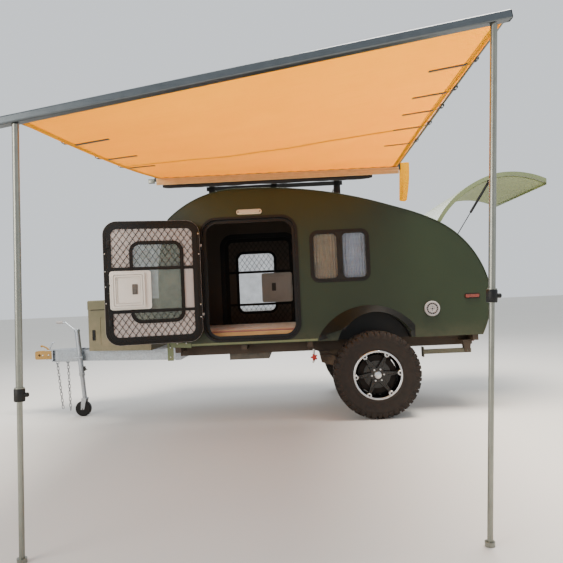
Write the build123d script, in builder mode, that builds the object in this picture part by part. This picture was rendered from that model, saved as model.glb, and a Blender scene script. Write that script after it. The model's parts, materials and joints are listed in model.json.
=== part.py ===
"""Teardrop trailer: an off-road camping trailer with its side awning set up.

The frame's origin is the centre of the coupling's cross bore. +X runs to the rear, +Y to the
off side, +Z up. Places below are measured in millimetres from the axle, and heights from a datum
390 under its centre, which the ground is a little above.
"""
import os
from math import cos, hypot, radians, sin

from build123d import *

os.makedirs("parts", exist_ok=True)

# Where the axle stands behind the coupling, and how high the coupling's bore is
coupling_to_axle = 3285
coupling_height = 610

# Body shell
body_half_width = 740
wall = 30
skin = 30
sill_height = 685
floor_thickness = 25
bulkhead_x = 150
bulkhead_thickness = 18

# The side view of the body, clockwise from the lower front corner, each arc by three points
nose_low = (-1800, sill_height)
nose_mid = (-1885, 1260)
nose_high = (-1780, 1828)
brow = (-1500, 2008)
crown = (-1130, 2075)
roof_mid = (-430, 2022)
roof_end = (249, 1845)
shoulder = (440, 1781)
hinge_corner = (615, 1700)
tail_high = (870, 1487)
tail_mid = (1035, 1150)
tail_bend = (1042, 980)
tail_low = (958, sill_height)

# Rear hatch
hatch_thickness = 40
hatch_lining_thickness = 5
hatch_opening = 89
moving_gap = 5
hatch_knuckle_radius = 8
hatch_knuckle_length = 70
hatch_pin_radius = 3
roof_knuckles = (-520, 0, 520)
hatch_rim = 45

# Side doors, the same on both sides
door_left_edge = -1475
door_width = 820
door_low = 738
door_height = 1060
door_corner = 120
door_thickness = 27
door_lip = 25
door_gap = 7
door_proud = 2
door_frame_width = 19
door_opening = 165
hinge_reach = 15
hinge_stand_out = 32
door_hinge_heights = (960, 1570)
door_window_left = 167
door_window_width = 418
door_window_low = 200
door_window_height = 665
door_window_surround = 20
door_window_corner = 70
screen_frame_width = 38
screen_thickness = 10
screen_bar_heights = (285, 650)
screen_bar_width = 26
mesh_pitch = 44
mesh_strand = 3.5
mesh_strands = 31
mesh_lean = 54

# Side windows
side_window_left = -521
side_window_width = 520
side_window_low = 1208
side_window_height = 456
side_window_corner = 70
window_frame_width = 30
window_frame_stand_out = 8
mullion_width = 50
glass_thickness = 4

# Wheels
wheel_centre_height = 390
tyre_radius = 375
ground = wheel_centre_height - tyre_radius
tyre_width = 245
rim_radius = 221
wheel_centre_y = body_half_width + 86
stub_radius = 20
bearing_gap = 0.05

# Wheel arches
arch_centre = (12, 584)
arch_radius = 343
flare_centre = (-30, 465)
flare_radius = 520
flare_reach = 195
flare_taper = 28
flare_wall = 10
flare_tail = -478
liner_wall = 6
liner_depth = 90

# Chassis and drawbar
rail_height = 100
rail_width = 50
rail_y = 480
rail_front = -1760
rail_rear = 930
rail_low = sill_height - rail_height
cross_member_places = (-1735, -1150, -560, 120, 905)
drawbar_low = 550
drawbar_height = 105
drawbar_width = 50
drawbar_front = -3080
drawbar_front_y = 62
drawbar_rear_y = 455

# Coupling
block_length = 170
block_front = 45
block_height = 84
block_width = 76
coupling_bore_radius = 12.7

# Trailing arms
arm_pivot_x = -430
arm_pivot_height = 520
arm_y = wheel_centre_y - 236
arm_width = 60
spring_radius = 48

# Jockey wheel
jockey_top = (-2833, 860)
jockey_low = (-2776, 167)
jockey_y = -205
jockey_tube_radius = 24
jockey_tube_length = 455
jockey_leg_radius = 20.9
jockey_wheel_radius = 75
jockey_hub_radius = 16
jockey_hub_reach = 3
jockey_axle_radius = 6
jockey_axle_reach = 14
jockey_wheel_width = 54
jockey_trail = 25

# Stabiliser legs
leg_pivot_x = 850
leg_pivot_height = 540
leg_y = 600
leg_length = 390

# Front box
box_front = -2680
box_rear = -2020
box_front_half = 330
box_rear_half = 560
box_low = 655
box_split = 1050
box_high = 1138
box_wall = 12

# Roof rack
rack_front = -1440
rack_rear = -200
rack_half_width = 600
rack_low = 2092
rack_rail_height = 34
rack_rail_width = 30
rack_bar_radius = 14
rack_bars = (-1390, -820, -250)

# Awning
awning_front = -1860
awning_rear = 290
awning_back_y = -800
awning_back_height = 2195
awning_rail_height = 60
awning_rail_depth = 36
awning_reach = 2735
front_rail_height = 38
front_rail_depth = 52
front_rail_low_end = 1902
front_rail_high_end = 2239
front_rail_overhang = 72
pole_radius = 15
pole_foot_radius = 12
rafter_radius = 11
canopy_thickness = 4

# Gas struts
strut_y = body_half_width - wall - 22
strut_base = (760, 1520)
strut_top_closed = (955, 1224)
strut_tube_radius = 11
strut_rod_radius = 4

axle_x = coupling_to_axle
floor_z = -coupling_height


def side(y):
    """Plane of the side view at a distance off the centre, x to the rear and y up."""
    return Plane(origin=(axle_x, y, floor_z), x_dir=(1, 0, 0), z_dir=(0, -1, 0))


def level(height):
    """Level plane at a height over the floor, x to the rear and y to the off side."""
    return Plane(origin=(axle_x, 0, floor_z + height), x_dir=(1, 0, 0), z_dir=(0, 0, 1))


def across(x):
    """Plane across the trailer, x to the off side and y up, extruding to the rear."""
    return Plane(origin=(axle_x + x, 0, floor_z), x_dir=(0, 1, 0), z_dir=(1, 0, 0))


def point(x, y, height):
    """A place measured from the axle on the floor, in the part's frame."""
    return Vector(axle_x + x, y, floor_z + height)


def along(start, end):
    """Plane at a start point that faces its end point."""
    return Plane(origin=start, z_dir=(end - start).normalized())


datum = Plane(origin=(axle_x, 0, floor_z))
hatch_hinge = Axis(point(hinge_corner[0], 0, hinge_corner[1]), (0, 1, 0))
door_hinge_x = door_left_edge - hinge_reach
door_hinge_y = body_half_width + hinge_stand_out


def door_hinge(sign):
    """The upright hinge line of the door on one side."""
    return Axis(point(door_hinge_x, sign * door_hinge_y, 0), (0, 0, 1))


def save(piece, label):
    """Name a finished piece and write it."""
    piece.label = label
    export_step(piece, f"parts/{label}.step")


def mirrored(piece):
    """The same piece on the other side of the trailer."""
    return mirror(piece, about=Plane.XZ)


def body_outline(inset):
    """The body's closed side view, drawn in by an inset."""
    with BuildSketch(Plane.XY) as outline:
        with BuildLine():
            ThreePointArc(nose_low, nose_mid, nose_high)
            ThreePointArc(nose_high, brow, crown)
            ThreePointArc(crown, roof_mid, roof_end)
            ThreePointArc(roof_end, shoulder, hinge_corner)
            ThreePointArc(hinge_corner, tail_high, tail_mid)
            ThreePointArc(tail_mid, tail_bend, tail_low)
            Line(tail_low, nose_low)
        make_face()
        if inset:
            offset(amount=-inset, kind=Kind.INTERSECTION)
    return outline.sketch


def body_slab(inset, near, far):
    """The body's side view as a solid between two distances off the centre."""
    with BuildPart() as slab:
        with BuildSketch(side(far)):
            add(body_outline(inset))
        extrude(amount=far - near)
    return slab.part


def door_outline(grow, mode=Mode.ADD):
    """Adds the door leaf's outline, grown all round, to a side-view sketch."""
    with Locations((door_left_edge + door_width / 2, door_low + door_height / 2)):
        RectangleRounded(door_width + 2 * grow, door_height + 2 * grow, door_corner + grow, mode=mode)


def door_window_outline(grow, mode=Mode.ADD):
    """Adds the outline of the door's window, grown all round, to a side-view sketch."""
    with Locations((door_left_edge + door_window_left + door_window_width / 2,
                    door_low + door_window_low + door_window_height / 2)):
        RectangleRounded(door_window_width + 2 * grow, door_window_height + 2 * grow,
                         door_window_corner + grow, mode=mode)


def window_outline(grow, mode=Mode.ADD):
    """Adds the outline of the side window's frame, grown all round, to a side-view sketch."""
    with Locations((side_window_left + side_window_width / 2,
                    side_window_low + side_window_height / 2)):
        RectangleRounded(side_window_width + 2 * grow, side_window_height + 2 * grow,
                         side_window_corner + grow, mode=mode)


def window_lights(grow, mode=Mode.ADD):
    """Adds the two openings of the side window's frame to a side-view sketch."""
    light_width = side_window_width / 2 - window_frame_width - mullion_width / 2
    for half in (-1, 1):
        with Locations((side_window_left + side_window_width / 2
                        + half * (mullion_width + light_width) / 2,
                        side_window_low + side_window_height / 2)):
            RectangleRounded(light_width + 2 * grow,
                             side_window_height - 2 * window_frame_width + 2 * grow,
                             side_window_corner - window_frame_width + grow, mode=mode)


inner_half_width = body_half_width - wall
arch_box_half = inner_half_width - liner_depth
cabin_floor = sill_height + floor_thickness
face_gap = 0.3
low_corner = (Align.MIN, Align.CENTER, Align.MIN)

# Side walls, with the door's rebate, the window and the wheel arch cut out
with BuildPart() as side_wall:
    with BuildSketch(side(-inner_half_width)):
        add(body_outline(0))
        door_outline(door_gap, mode=Mode.SUBTRACT)
        window_outline(-window_frame_width / 2, mode=Mode.SUBTRACT)
        with Locations(arch_centre):
            Circle(arch_radius, mode=Mode.SUBTRACT)
    extrude(amount=wall)
save(side_wall.part, "side_wall_left")
save(mirrored(side_wall.part), "side_wall_right")

# Roof and front wall in one bent panel between the side walls, up to the hatch's hinge
roof_end_gap = 12
over_roof = crown[1] + 325
ahead_of_nose = nose_mid[0] - 1100
with BuildPart() as roof_shell:
    add(body_slab(0, -inner_half_width, inner_half_width))
    add(body_slab(skin, -body_half_width, body_half_width), mode=Mode.SUBTRACT)
    add(body_slab(skin, -body_half_width, body_half_width).moved(Location((0, 0, -skin))),
        mode=Mode.SUBTRACT)
    with BuildSketch(side(body_half_width)):
        with BuildLine():
            Polyline((hinge_corner[0] - roof_end_gap, over_roof), (hinge_corner[0] - roof_end_gap, 1600),
                     (300, 1500), (300, cabin_floor), (ahead_of_nose, cabin_floor),
                     (ahead_of_nose, over_roof), close=True)
        make_face()
    extrude(amount=2 * body_half_width, mode=Mode.INTERSECT)
    for y in roof_knuckles:
        with Locations(Plane(origin=point(hinge_corner[0], y, hinge_corner[1]), z_dir=(0, 1, 0))):
            Cylinder(hatch_knuckle_radius, hatch_knuckle_length)
        with Locations(point(hinge_corner[0] - roof_end_gap, y, hinge_corner[1])):
            Box(2 * roof_end_gap, hatch_knuckle_length, hatch_knuckle_radius,
                align=(Align.CENTER, Align.CENTER, Align.MAX))
        with Locations(Plane(origin=point(hinge_corner[0], y, hinge_corner[1]), z_dir=(0, 1, 0))):
            Cylinder(hatch_pin_radius + bearing_gap, hatch_knuckle_length, mode=Mode.SUBTRACT)
save(roof_shell.part, "roof_shell")

# Floor between the side walls, ahead of the closed hatch, open over the wheels
floor_front = nose_low[0] + 8
floor_rear = tail_low[0] - hatch_thickness - 20
with BuildPart() as floor_panel:
    with BuildSketch(level(sill_height)):
        with Locations(((floor_front + floor_rear) / 2, 0)):
            Rectangle(floor_rear - floor_front, 2 * inner_half_width)
        for y in (-inner_half_width, inner_half_width):
            with Locations((arch_centre[0], y)):
                Rectangle(2 * arch_radius, 2 * liner_depth, mode=Mode.SUBTRACT)
    extrude(amount=floor_thickness)
save(floor_panel.part, "floor_panel")

# Bulkhead between the cabin and the galley, notched over the wheel boxes
with BuildPart() as bulkhead:
    with BuildSketch(across(bulkhead_x)):
        with Locations((0, cabin_floor)):
            Rectangle(2 * inner_half_width, 2000, align=(Align.CENTER, Align.MIN))
        for y in (-inner_half_width, inner_half_width):
            with Locations((y, cabin_floor)):
                Rectangle(2 * liner_depth, 2 * (arch_centre[1] + arch_radius - cabin_floor),
                          mode=Mode.SUBTRACT)
    extrude(amount=bulkhead_thickness)
    add(body_slab(skin, -inner_half_width, inner_half_width).moved(Location((0, 0, -face_gap))),
        mode=Mode.INTERSECT)
save(bulkhead.part, "bulkhead")

# Galley: an open cupboard with three bays, its worktop, and a shelf above
worktop_height = 1130
worktop_thickness = 22
worktop_rear = 900
cupboard_rear = 820
board = 16
galley_front = bulkhead_x + bulkhead_thickness
cupboard_half = arch_box_half
bay_dividers = (-235, 235)
shelf_height = 1430
shelf_depth = 230
shelf_lip = 60
cupboard_depth = cupboard_rear - galley_front
cupboard_height = worktop_height - cabin_floor
with BuildPart(datum) as galley_cabinet:
    with Locations((galley_front, 0, cabin_floor), (galley_front, 0, cabin_floor + cupboard_height / 2)):
        Box(cupboard_depth, 2 * cupboard_half, board, align=low_corner)
    with Locations((galley_front, 0, cabin_floor)):
        Box(board, 2 * cupboard_half, cupboard_height, align=low_corner)
    for y in (-cupboard_half + board / 2, *bay_dividers, cupboard_half - board / 2):
        with Locations((galley_front, y, cabin_floor)):
            Box(cupboard_depth, board, cupboard_height, align=low_corner)
    with Locations((galley_front, 0, shelf_height)):
        Box(shelf_depth, 2 * inner_half_width, board, align=low_corner)
    with Locations((galley_front + shelf_depth - board, 0, shelf_height)):
        Box(board, 2 * inner_half_width, shelf_lip, align=low_corner)
save(galley_cabinet.part, "galley_cabinet")

with BuildPart(datum) as galley_worktop:
    with Locations((galley_front, 0, worktop_height)):
        Box(worktop_rear - galley_front, 2 * inner_half_width, worktop_thickness, align=low_corner)
    fillet(galley_worktop.edges().filter_by(Axis.Z).sort_by(Axis.X)[-2:], 25)
save(galley_worktop.part, "galley_worktop")

# Mattress on the cabin floor, between the front wall and the bulkhead
mattress_front = -1755
mattress_rear_gap = 12
mattress_thickness = 105
mattress_round = 35
mattress_half = arch_box_half - 15
mattress_length = bulkhead_x - mattress_rear_gap - mattress_front
with BuildPart() as mattress:
    with BuildSketch(level(cabin_floor + face_gap)):
        with Locations((mattress_front + mattress_length / 2, 0)):
            RectangleRounded(mattress_length, 2 * mattress_half, 60)
    extrude(amount=mattress_thickness)
    fillet(mattress.faces().sort_by(Axis.Z)[-1].edges(), mattress_round)
save(mattress.part, "mattress")

# Door frames: a flat ring on the body's side, a sleeve through the wall, a stop ring inside
frame_plate = 10
frame_sleeve = 1.7
stop_plate = 8
knuckle_radius = 8
knuckle_height = 22
knuckle_gap = 4
hinge_pin_radius = 3
with BuildPart() as door_frame:
    with BuildSketch(side(-body_half_width)):
        door_outline(door_gap + door_frame_width)
        door_outline(door_gap - face_gap - frame_sleeve, mode=Mode.SUBTRACT)
    extrude(amount=frame_plate)
    with BuildSketch(side(-inner_half_width)):
        door_outline(door_gap - face_gap)
        door_outline(door_gap - face_gap - frame_sleeve, mode=Mode.SUBTRACT)
    extrude(amount=wall)
    with BuildSketch(side(-inner_half_width + stop_plate)):
        door_outline(door_gap + door_frame_width)
        door_outline(-door_lip, mode=Mode.SUBTRACT)
    extrude(amount=stop_plate)
    for height in door_hinge_heights:
        with BuildSketch(level(height - knuckle_height - knuckle_gap)):
            with Locations((door_hinge_x, -door_hinge_y)):
                Circle(knuckle_radius)
            with Locations((door_hinge_x - 4, -door_hinge_y)):
                Rectangle(9, hinge_stand_out - frame_plate + 1, align=(Align.CENTER, Align.MIN))
            with Locations((door_hinge_x, -door_hinge_y)):
                Circle(hinge_pin_radius + bearing_gap, mode=Mode.SUBTRACT)
        extrude(amount=knuckle_height)
save(door_frame.part, "door_frame_left")
save(mirrored(door_frame.part), "door_frame_right")

# Door leaf, closed: a panel with its window cut, and half of each hinge with the pin
door_outer = -body_half_width - door_proud
door_inner = door_outer + door_thickness
hinge_arm = 6
hinge_arm_reach = 40
with BuildPart() as door_leaf:
    with BuildSketch(side(door_inner)):
        door_outline(0)
        door_window_outline(0, mode=Mode.SUBTRACT)
    extrude(amount=door_thickness)
    for height in door_hinge_heights:
        with BuildSketch(level(height)):
            with Locations((door_hinge_x, -door_hinge_y)):
                Circle(knuckle_radius)
            with Locations((door_hinge_x, -door_hinge_y + 2)):
                Rectangle(hinge_arm_reach, hinge_arm, align=(Align.MIN, Align.MIN))
            with Locations((door_hinge_x + hinge_arm_reach - hinge_arm, -door_hinge_y + 2)):
                Rectangle(hinge_arm, hinge_stand_out - door_proud, align=(Align.MIN, Align.MIN))
        extrude(amount=knuckle_height)
        with BuildSketch(level(height - knuckle_height - knuckle_gap)):
            with Locations((door_hinge_x, -door_hinge_y)):
                Circle(hinge_pin_radius)
        extrude(amount=2 * knuckle_height + knuckle_gap)

# Security screen inside the leaf: the frame, two bars and the window's surround
screen_inset = door_lip + 5
screen_back = door_inner + face_gap + screen_thickness
with BuildPart() as door_screen:
    with BuildSketch(side(screen_back)):
        door_outline(-screen_inset)
        door_outline(-screen_inset - screen_frame_width, mode=Mode.SUBTRACT)
        for height in screen_bar_heights:
            with Locations((door_left_edge + door_width / 2, door_low + height)):
                Rectangle(door_width - 2 * screen_inset - screen_frame_width, screen_bar_width)
        door_window_outline(door_window_surround)
        door_window_outline(-door_window_surround / 2, mode=Mode.SUBTRACT)
        for height in screen_bar_heights:
            with Locations((door_left_edge + door_width / 2, door_low + height)):
                Rectangle(door_width - 2 * screen_inset - screen_frame_width, screen_bar_width)
    extrude(amount=screen_thickness)
    # Diamond mesh above and below the bars, its strands in two crossing layers
    for lean, layer in ((mesh_lean, 1), (-mesh_lean, mesh_strand + 1.5)):
        with BuildSketch(side(screen_back - layer)):
            with Locations((door_left_edge + door_width / 2, door_low + door_height / 2)):
                with Locations(Location((0, 0, 0), (0, 0, lean))):
                    with GridLocations(0, mesh_pitch, 1, mesh_strands):
                        Rectangle(2 * door_height, mesh_strand)
            door_outline(-screen_inset - screen_frame_width / 2, mode=Mode.INTERSECT)
            with Locations((door_left_edge + door_width / 2, door_low + sum(screen_bar_heights) / 2)):
                Rectangle(door_width, screen_bar_heights[1] - screen_bar_heights[0], mode=Mode.SUBTRACT)
        extrude(amount=mesh_strand)

# Glass in the door
glass_inset = 8
with BuildPart() as door_glass:
    with BuildSketch(side(door_inner - glass_inset)):
        door_window_outline(-face_gap)
    extrude(amount=glass_thickness)

# White moulded panel between the bars, at the free side
panel_size = (345, 330)
panel_raise = 12
panel_field = (205, 225)
panel_edge_gap = 45
panel_middle = (door_left_edge + door_width - panel_edge_gap - panel_size[0] / 2,
                door_low + sum(screen_bar_heights) / 2)
with BuildPart() as door_panel:
    with BuildSketch(side(screen_back + face_gap)):
        with Locations(panel_middle):
            RectangleRounded(*panel_size, 25)
    extrude(amount=-panel_raise, taper=6)
    with BuildSketch(side(screen_back + face_gap + panel_raise)):
        with Locations(panel_middle):
            RectangleRounded(*panel_field, 18)
    extrude(amount=-panel_raise / 2, taper=12)

near_hinge = door_hinge(-1)
door_pieces = {"door_leaf": door_leaf, "door_screen": door_screen, "door_glass": door_glass,
               "door_panel": door_panel}
for label, piece in door_pieces.items():
    save(piece.part.rotate(near_hinge, -door_opening), f"{label}_left")
    save(mirrored(piece.part), f"{label}_right")

# Side windows: a black frame with an upright mullion, and two panes in each
with BuildPart() as window_frames:
    with BuildSketch(side(-inner_half_width)):
        window_outline(-window_frame_width / 2 - face_gap)
        window_lights(0, mode=Mode.SUBTRACT)
    extrude(amount=wall)
    with BuildSketch(side(-body_half_width)):
        window_outline(0)
        window_lights(0, mode=Mode.SUBTRACT)
    extrude(amount=window_frame_stand_out)
    mirror(about=Plane.XZ)
save(window_frames.part, "window_frames")

with BuildPart() as window_panes:
    with BuildSketch(side(-inner_half_width - wall / 2)):
        window_lights(-face_gap)
    extrude(amount=glass_thickness)
    mirror(about=Plane.XZ)
save(window_panes.part, "window_panes")

# Wheel-arch flares, hollow behind, with the wheel boxes' liners inside the body
flare_low = sill_height + 5
flare_length = 850
liner_side = side(-inner_half_width + liner_depth - face_gap)
with BuildPart() as wheel_flares:
    for inset, reach, mode in ((0, flare_reach, Mode.ADD),
                               (flare_wall, flare_reach - flare_wall, Mode.SUBTRACT)):
        with BuildSketch(side(-body_half_width)):
            with Locations(flare_centre):
                Circle(flare_radius - inset)
            with Locations((flare_tail + inset, flare_low - inset)):
                Rectangle(flare_length - 2 * inset, flare_radius, align=(Align.MIN, Align.MIN),
                          mode=Mode.INTERSECT)
        extrude(amount=reach, taper=flare_taper, mode=mode)
    with BuildSketch(side(-body_half_width + 1)):
        with Locations(arch_centre):
            Circle(arch_radius)
    extrude(amount=flare_reach + 2, mode=Mode.SUBTRACT)
    with BuildSketch(liner_side):
        with Locations(arch_centre):
            Circle(arch_radius - face_gap)
        with Locations((arch_centre[0], sill_height)):
            Rectangle(2 * arch_radius, 2 * arch_radius, align=(Align.CENTER, Align.MIN),
                      mode=Mode.INTERSECT)
    extrude(amount=liner_depth + wall - face_gap)
    with BuildSketch(side(-inner_half_width + liner_depth - face_gap - liner_wall)):
        with Locations(arch_centre):
            Circle(arch_radius - face_gap - liner_wall)
    extrude(amount=liner_depth + wall, mode=Mode.SUBTRACT)
    mirror(about=Plane.XZ)
save(wheel_flares.part, "wheel_flares")

# Rear hatch, modelled closed and then swung open about its hinge
hatch_half = inner_half_width - moving_gap
hatch_low = cabin_floor + moving_gap
hatch_lip = tail_low[0] - hatch_thickness


def tail_shell(outer, inner, half):
    """The bent shell of the tail between two insets of the outline, below the hinge line."""
    with BuildPart() as shell:
        add(body_slab(outer, -half, half))
        add(body_slab(inner, -body_half_width, body_half_width), mode=Mode.SUBTRACT)
        with BuildSketch(side(body_half_width)):
            with BuildLine():
                Polyline((hinge_corner[0], hinge_corner[1] + 100), (hinge_corner[0], 1500),
                         (hatch_lip, tail_mid[1]), (hatch_lip, hatch_low),
                         (1300, hatch_low), (1300, hinge_corner[1] + 100), close=True)
            make_face()
        extrude(amount=2 * body_half_width, mode=Mode.INTERSECT)
    return shell.part


hinge_rod = Plane(origin=point(hinge_corner[0], 0, hinge_corner[1]), z_dir=(0, 1, 0))
with BuildPart() as hatch_shell:
    add(tail_shell(0, hatch_thickness - hatch_lining_thickness, hatch_half))
    with Locations(hinge_rod):
        Cylinder(hatch_knuckle_radius + moving_gap, 2 * body_half_width, mode=Mode.SUBTRACT)
    for y in roof_knuckles:
        for offset_y in (-hatch_knuckle_length - 2, hatch_knuckle_length + 2):
            knuckle_middle = point(hinge_corner[0], y + offset_y, hinge_corner[1])
            with Locations(Plane(origin=knuckle_middle, z_dir=(0, 1, 0))):
                Cylinder(hatch_knuckle_radius, hatch_knuckle_length)
            with Locations(knuckle_middle + Vector(12, 0, -6)):
                Box(22, hatch_knuckle_length, 12)
        with Locations(Plane(origin=point(hinge_corner[0], y, hinge_corner[1]), z_dir=(0, 1, 0))):
            Cylinder(hatch_pin_radius, 3 * hatch_knuckle_length)
with BuildPart() as hatch_lining:
    add(tail_shell(hatch_thickness - hatch_lining_thickness + face_gap, hatch_thickness,
                   hatch_half - hatch_rim))
    with BuildSketch(side(body_half_width)):
        with Locations((hinge_corner[0], hinge_corner[1])):
            Circle(60)
    extrude(amount=2 * body_half_width, mode=Mode.SUBTRACT)
for label, piece in {"hatch_shell": hatch_shell, "hatch_lining": hatch_lining}.items():
    save(piece.part.rotate(hatch_hinge, -hatch_opening), label)

# Gas struts, tube on the hatch and rod towards the body, drawn at their places at rest
hatch_turn = radians(hatch_opening)
lever = (strut_top_closed[0] - hinge_corner[0], strut_top_closed[1] - hinge_corner[1])
strut_top = (hinge_corner[0] + lever[0] * cos(hatch_turn) - lever[1] * sin(hatch_turn),
             hinge_corner[1] + lever[0] * sin(hatch_turn) + lever[1] * cos(hatch_turn))
strut_length = hypot(strut_top[0] - strut_base[0], strut_top[1] - strut_base[1])
strut_closed = hypot(strut_top_closed[0] - strut_base[0], strut_top_closed[1] - strut_base[1])
strut_tube_length = strut_closed - 50
rod_in_tube = 25
eye_radius = 9
eye_width = 10
stud_radius = 4
stud_gap = 0.1
strut_plane = along(point(strut_top[0], -strut_y, strut_top[1]),
                    point(strut_base[0], -strut_y, strut_base[1]))
with BuildPart() as strut_tube:
    with BuildSketch(Plane(origin=strut_plane.origin, x_dir=strut_plane.z_dir, z_dir=(0, 1, 0))):
        Circle(eye_radius)
        Circle(stud_radius + stud_gap, mode=Mode.SUBTRACT)
    extrude(amount=eye_width / 2, both=True)
    with BuildSketch(strut_plane.offset(eye_radius - 1)):
        Circle(strut_tube_radius)
    extrude(amount=strut_tube_length)
    with BuildSketch(strut_plane.offset(eye_radius + 12)):
        Circle(strut_tube_radius - 2.5)
    extrude(amount=strut_tube_length - 20)
    with BuildSketch(strut_plane.offset(eye_radius + 8)):
        Circle(strut_rod_radius + 0.5)
    extrude(amount=strut_tube_length, mode=Mode.SUBTRACT)
with BuildPart() as strut_rod:
    with BuildSketch(strut_plane.offset(eye_radius - 1 + strut_tube_length - rod_in_tube)):
        Circle(strut_rod_radius)
    extrude(amount=strut_length - strut_tube_length + rod_in_tube - 2 * eye_radius + 2)
    rod_end = point(strut_base[0], -strut_y, strut_base[1])
    with BuildSketch(Plane(origin=rod_end, x_dir=strut_plane.z_dir, z_dir=(0, 1, 0))):
        Circle(eye_radius)
        Circle(stud_radius + stud_gap, mode=Mode.SUBTRACT)
    extrude(amount=eye_width / 2, both=True)
for label, piece in {"strut_tube": strut_tube, "strut_rod": strut_rod}.items():
    save(piece.part, f"{label}_left")
    save(mirrored(piece.part), f"{label}_right")

# Wheels: a lugged tyre, and a spoked rim with its hub on the stub axle
left_wheel = Plane(origin=point(0, -wheel_centre_y, wheel_centre_height), x_dir=(1, 0, 0),
                   z_dir=(0, -1, 0))
wheel_section = Plane(origin=left_wheel.origin, x_dir=(0, -1, 0), z_dir=(1, 0, 0))
wheel_axis = Axis(left_wheel.origin, (0, 1, 0))
tyre_bead_radius = rim_radius - 14
tyre_facets = 44
lugs_round = 22
lug_height = 11
lug_sunk = 4
tread_radius = tyre_radius - lug_height
half = tyre_width / 2
# The carcass from side to side: place across, radius
carcass_rings = ((-half + 16, tyre_bead_radius), (-half, 308), (-half + 20, tread_radius),
                 (half - 20, tread_radius), (half, 308), (half - 16, tyre_bead_radius))
# A lug of one side in section, from the tread's middle down the sidewall: place across, radius
shoulder_lug = ((6, tread_radius - lug_sunk), (10, tyre_radius), (half - 24, tyre_radius),
                (half - 7, tyre_radius - 9), (half - 1, 334), (half - 16, 326))
shoulder_lug_width = 54
lug_step = 360 / lugs_round
with BuildPart() as tyre:
    for across_tyre, radius in carcass_rings:
        with BuildSketch(left_wheel.offset(across_tyre)):
            RegularPolygon(radius, tyre_facets, rotation=180 / tyre_facets)
    loft(ruled=True)
    with BuildSketch(left_wheel.offset(-half)):
        RegularPolygon(tyre_bead_radius, tyre_facets, major_radius=False, rotation=180 / tyre_facets)
    extrude(amount=tyre_width, mode=Mode.SUBTRACT)
with BuildPart(mode=Mode.PRIVATE) as lug_set:
    with BuildSketch(wheel_section):
        with BuildLine():
            Polyline(*shoulder_lug, close=True)
        make_face()
    extrude(amount=shoulder_lug_width / 2, both=True)
shoulder_one = lug_set.part
shoulder_other = mirror(shoulder_one, about=left_wheel).rotate(wheel_axis, lug_step / 2)
tread_lugs = [block.rotate(wheel_axis, lug_step * step)
              for step in range(lugs_round)
              for block in (shoulder_one, shoulder_other)]
with BuildPart() as lugged_tyre:
    add(tyre.part)
    add(tread_lugs)
rim_width = tyre_width - 34
spoke_count = 6
spoke_turn = 4
hub_radius = 66
hub_depth = 44
spoke_depth = 34
bolt_radius = 8
flange_radius = 118
spoke_end = 186
boss_radius = 21
boss_place = 190
cap_radius = 32
nut_place = 52
nut_radius = 10
half_rim = rim_width / 2
bead_seat = tyre_bead_radius - face_gap
lip_face = half_rim + 6
spoke_face = half_rim - 20
with BuildPart() as rim:
    with BuildSketch(wheel_section):
        with BuildLine():
            Polyline((-half_rim, bead_seat), (-half_rim, bead_seat - 15), (-half_rim + 40, bead_seat - 26),
                     (half_rim - 40, bead_seat - 26), (half_rim - 12, bead_seat - 12),
                     (lip_face, bead_seat - 10), (lip_face, bead_seat), close=True)
        make_face()
    revolve(axis=wheel_axis)
    with BuildSketch(left_wheel.offset(spoke_face - hub_depth)):
        Circle(hub_radius)
    extrude(amount=hub_depth, taper=8)
    # Spokes: wide at the hub, running out to the bosses on the lip, with a groove down the middle
    with BuildSketch(left_wheel.offset(spoke_face - spoke_depth)):
        with PolarLocations(0, spoke_count, start_angle=spoke_turn):
            Polygon((40, -30), (hub_radius, -27), (spoke_end, -11), (spoke_end, 11), (hub_radius, 27),
                    (40, 30), align=None)
    extrude(amount=spoke_depth, taper=6)
    with BuildSketch(left_wheel.offset(spoke_face)):
        with PolarLocations(0, spoke_count, start_angle=spoke_turn):
            Polygon((hub_radius + 14, -13), (spoke_end - 26, -2), (spoke_end - 26, 2), (hub_radius + 14, 13),
                    align=None)
    extrude(amount=-12, taper=10, mode=Mode.SUBTRACT)
    with BuildSketch(left_wheel.offset(half_rim - 40)):
        with PolarLocations(boss_place, spoke_count, start_angle=spoke_turn):
            Circle(boss_radius)
        Circle(bead_seat - 4, mode=Mode.INTERSECT)
    extrude(amount=lip_face - half_rim + 40)
    with BuildSketch(left_wheel.offset(lip_face)):
        with PolarLocations(boss_place - 2, spoke_count, start_angle=spoke_turn):
            Circle(bolt_radius)
    extrude(amount=-6, mode=Mode.SUBTRACT)
    with BuildSketch(left_wheel.offset(spoke_face - 1)):
        Circle(cap_radius)
        with PolarLocations(nut_place, spoke_count, start_angle=spoke_turn):
            RegularPolygon(nut_radius, 6)
    extrude(amount=17, taper=8)
    with BuildSketch(left_wheel.offset(-half_rim + 5)):
        Circle(flange_radius)
    extrude(amount=spoke_face - hub_depth + 1 + half_rim - 5)
    with BuildSketch(left_wheel.offset(-half_rim)):
        Circle(stub_radius + bearing_gap)
    extrude(amount=rim_width - 40, mode=Mode.SUBTRACT)
for label, piece in {"wheel_tyre": lugged_tyre, "wheel_rim": rim}.items():
    save(piece.part, f"{label}_left")
    save(mirrored(piece.part), f"{label}_right")

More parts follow.
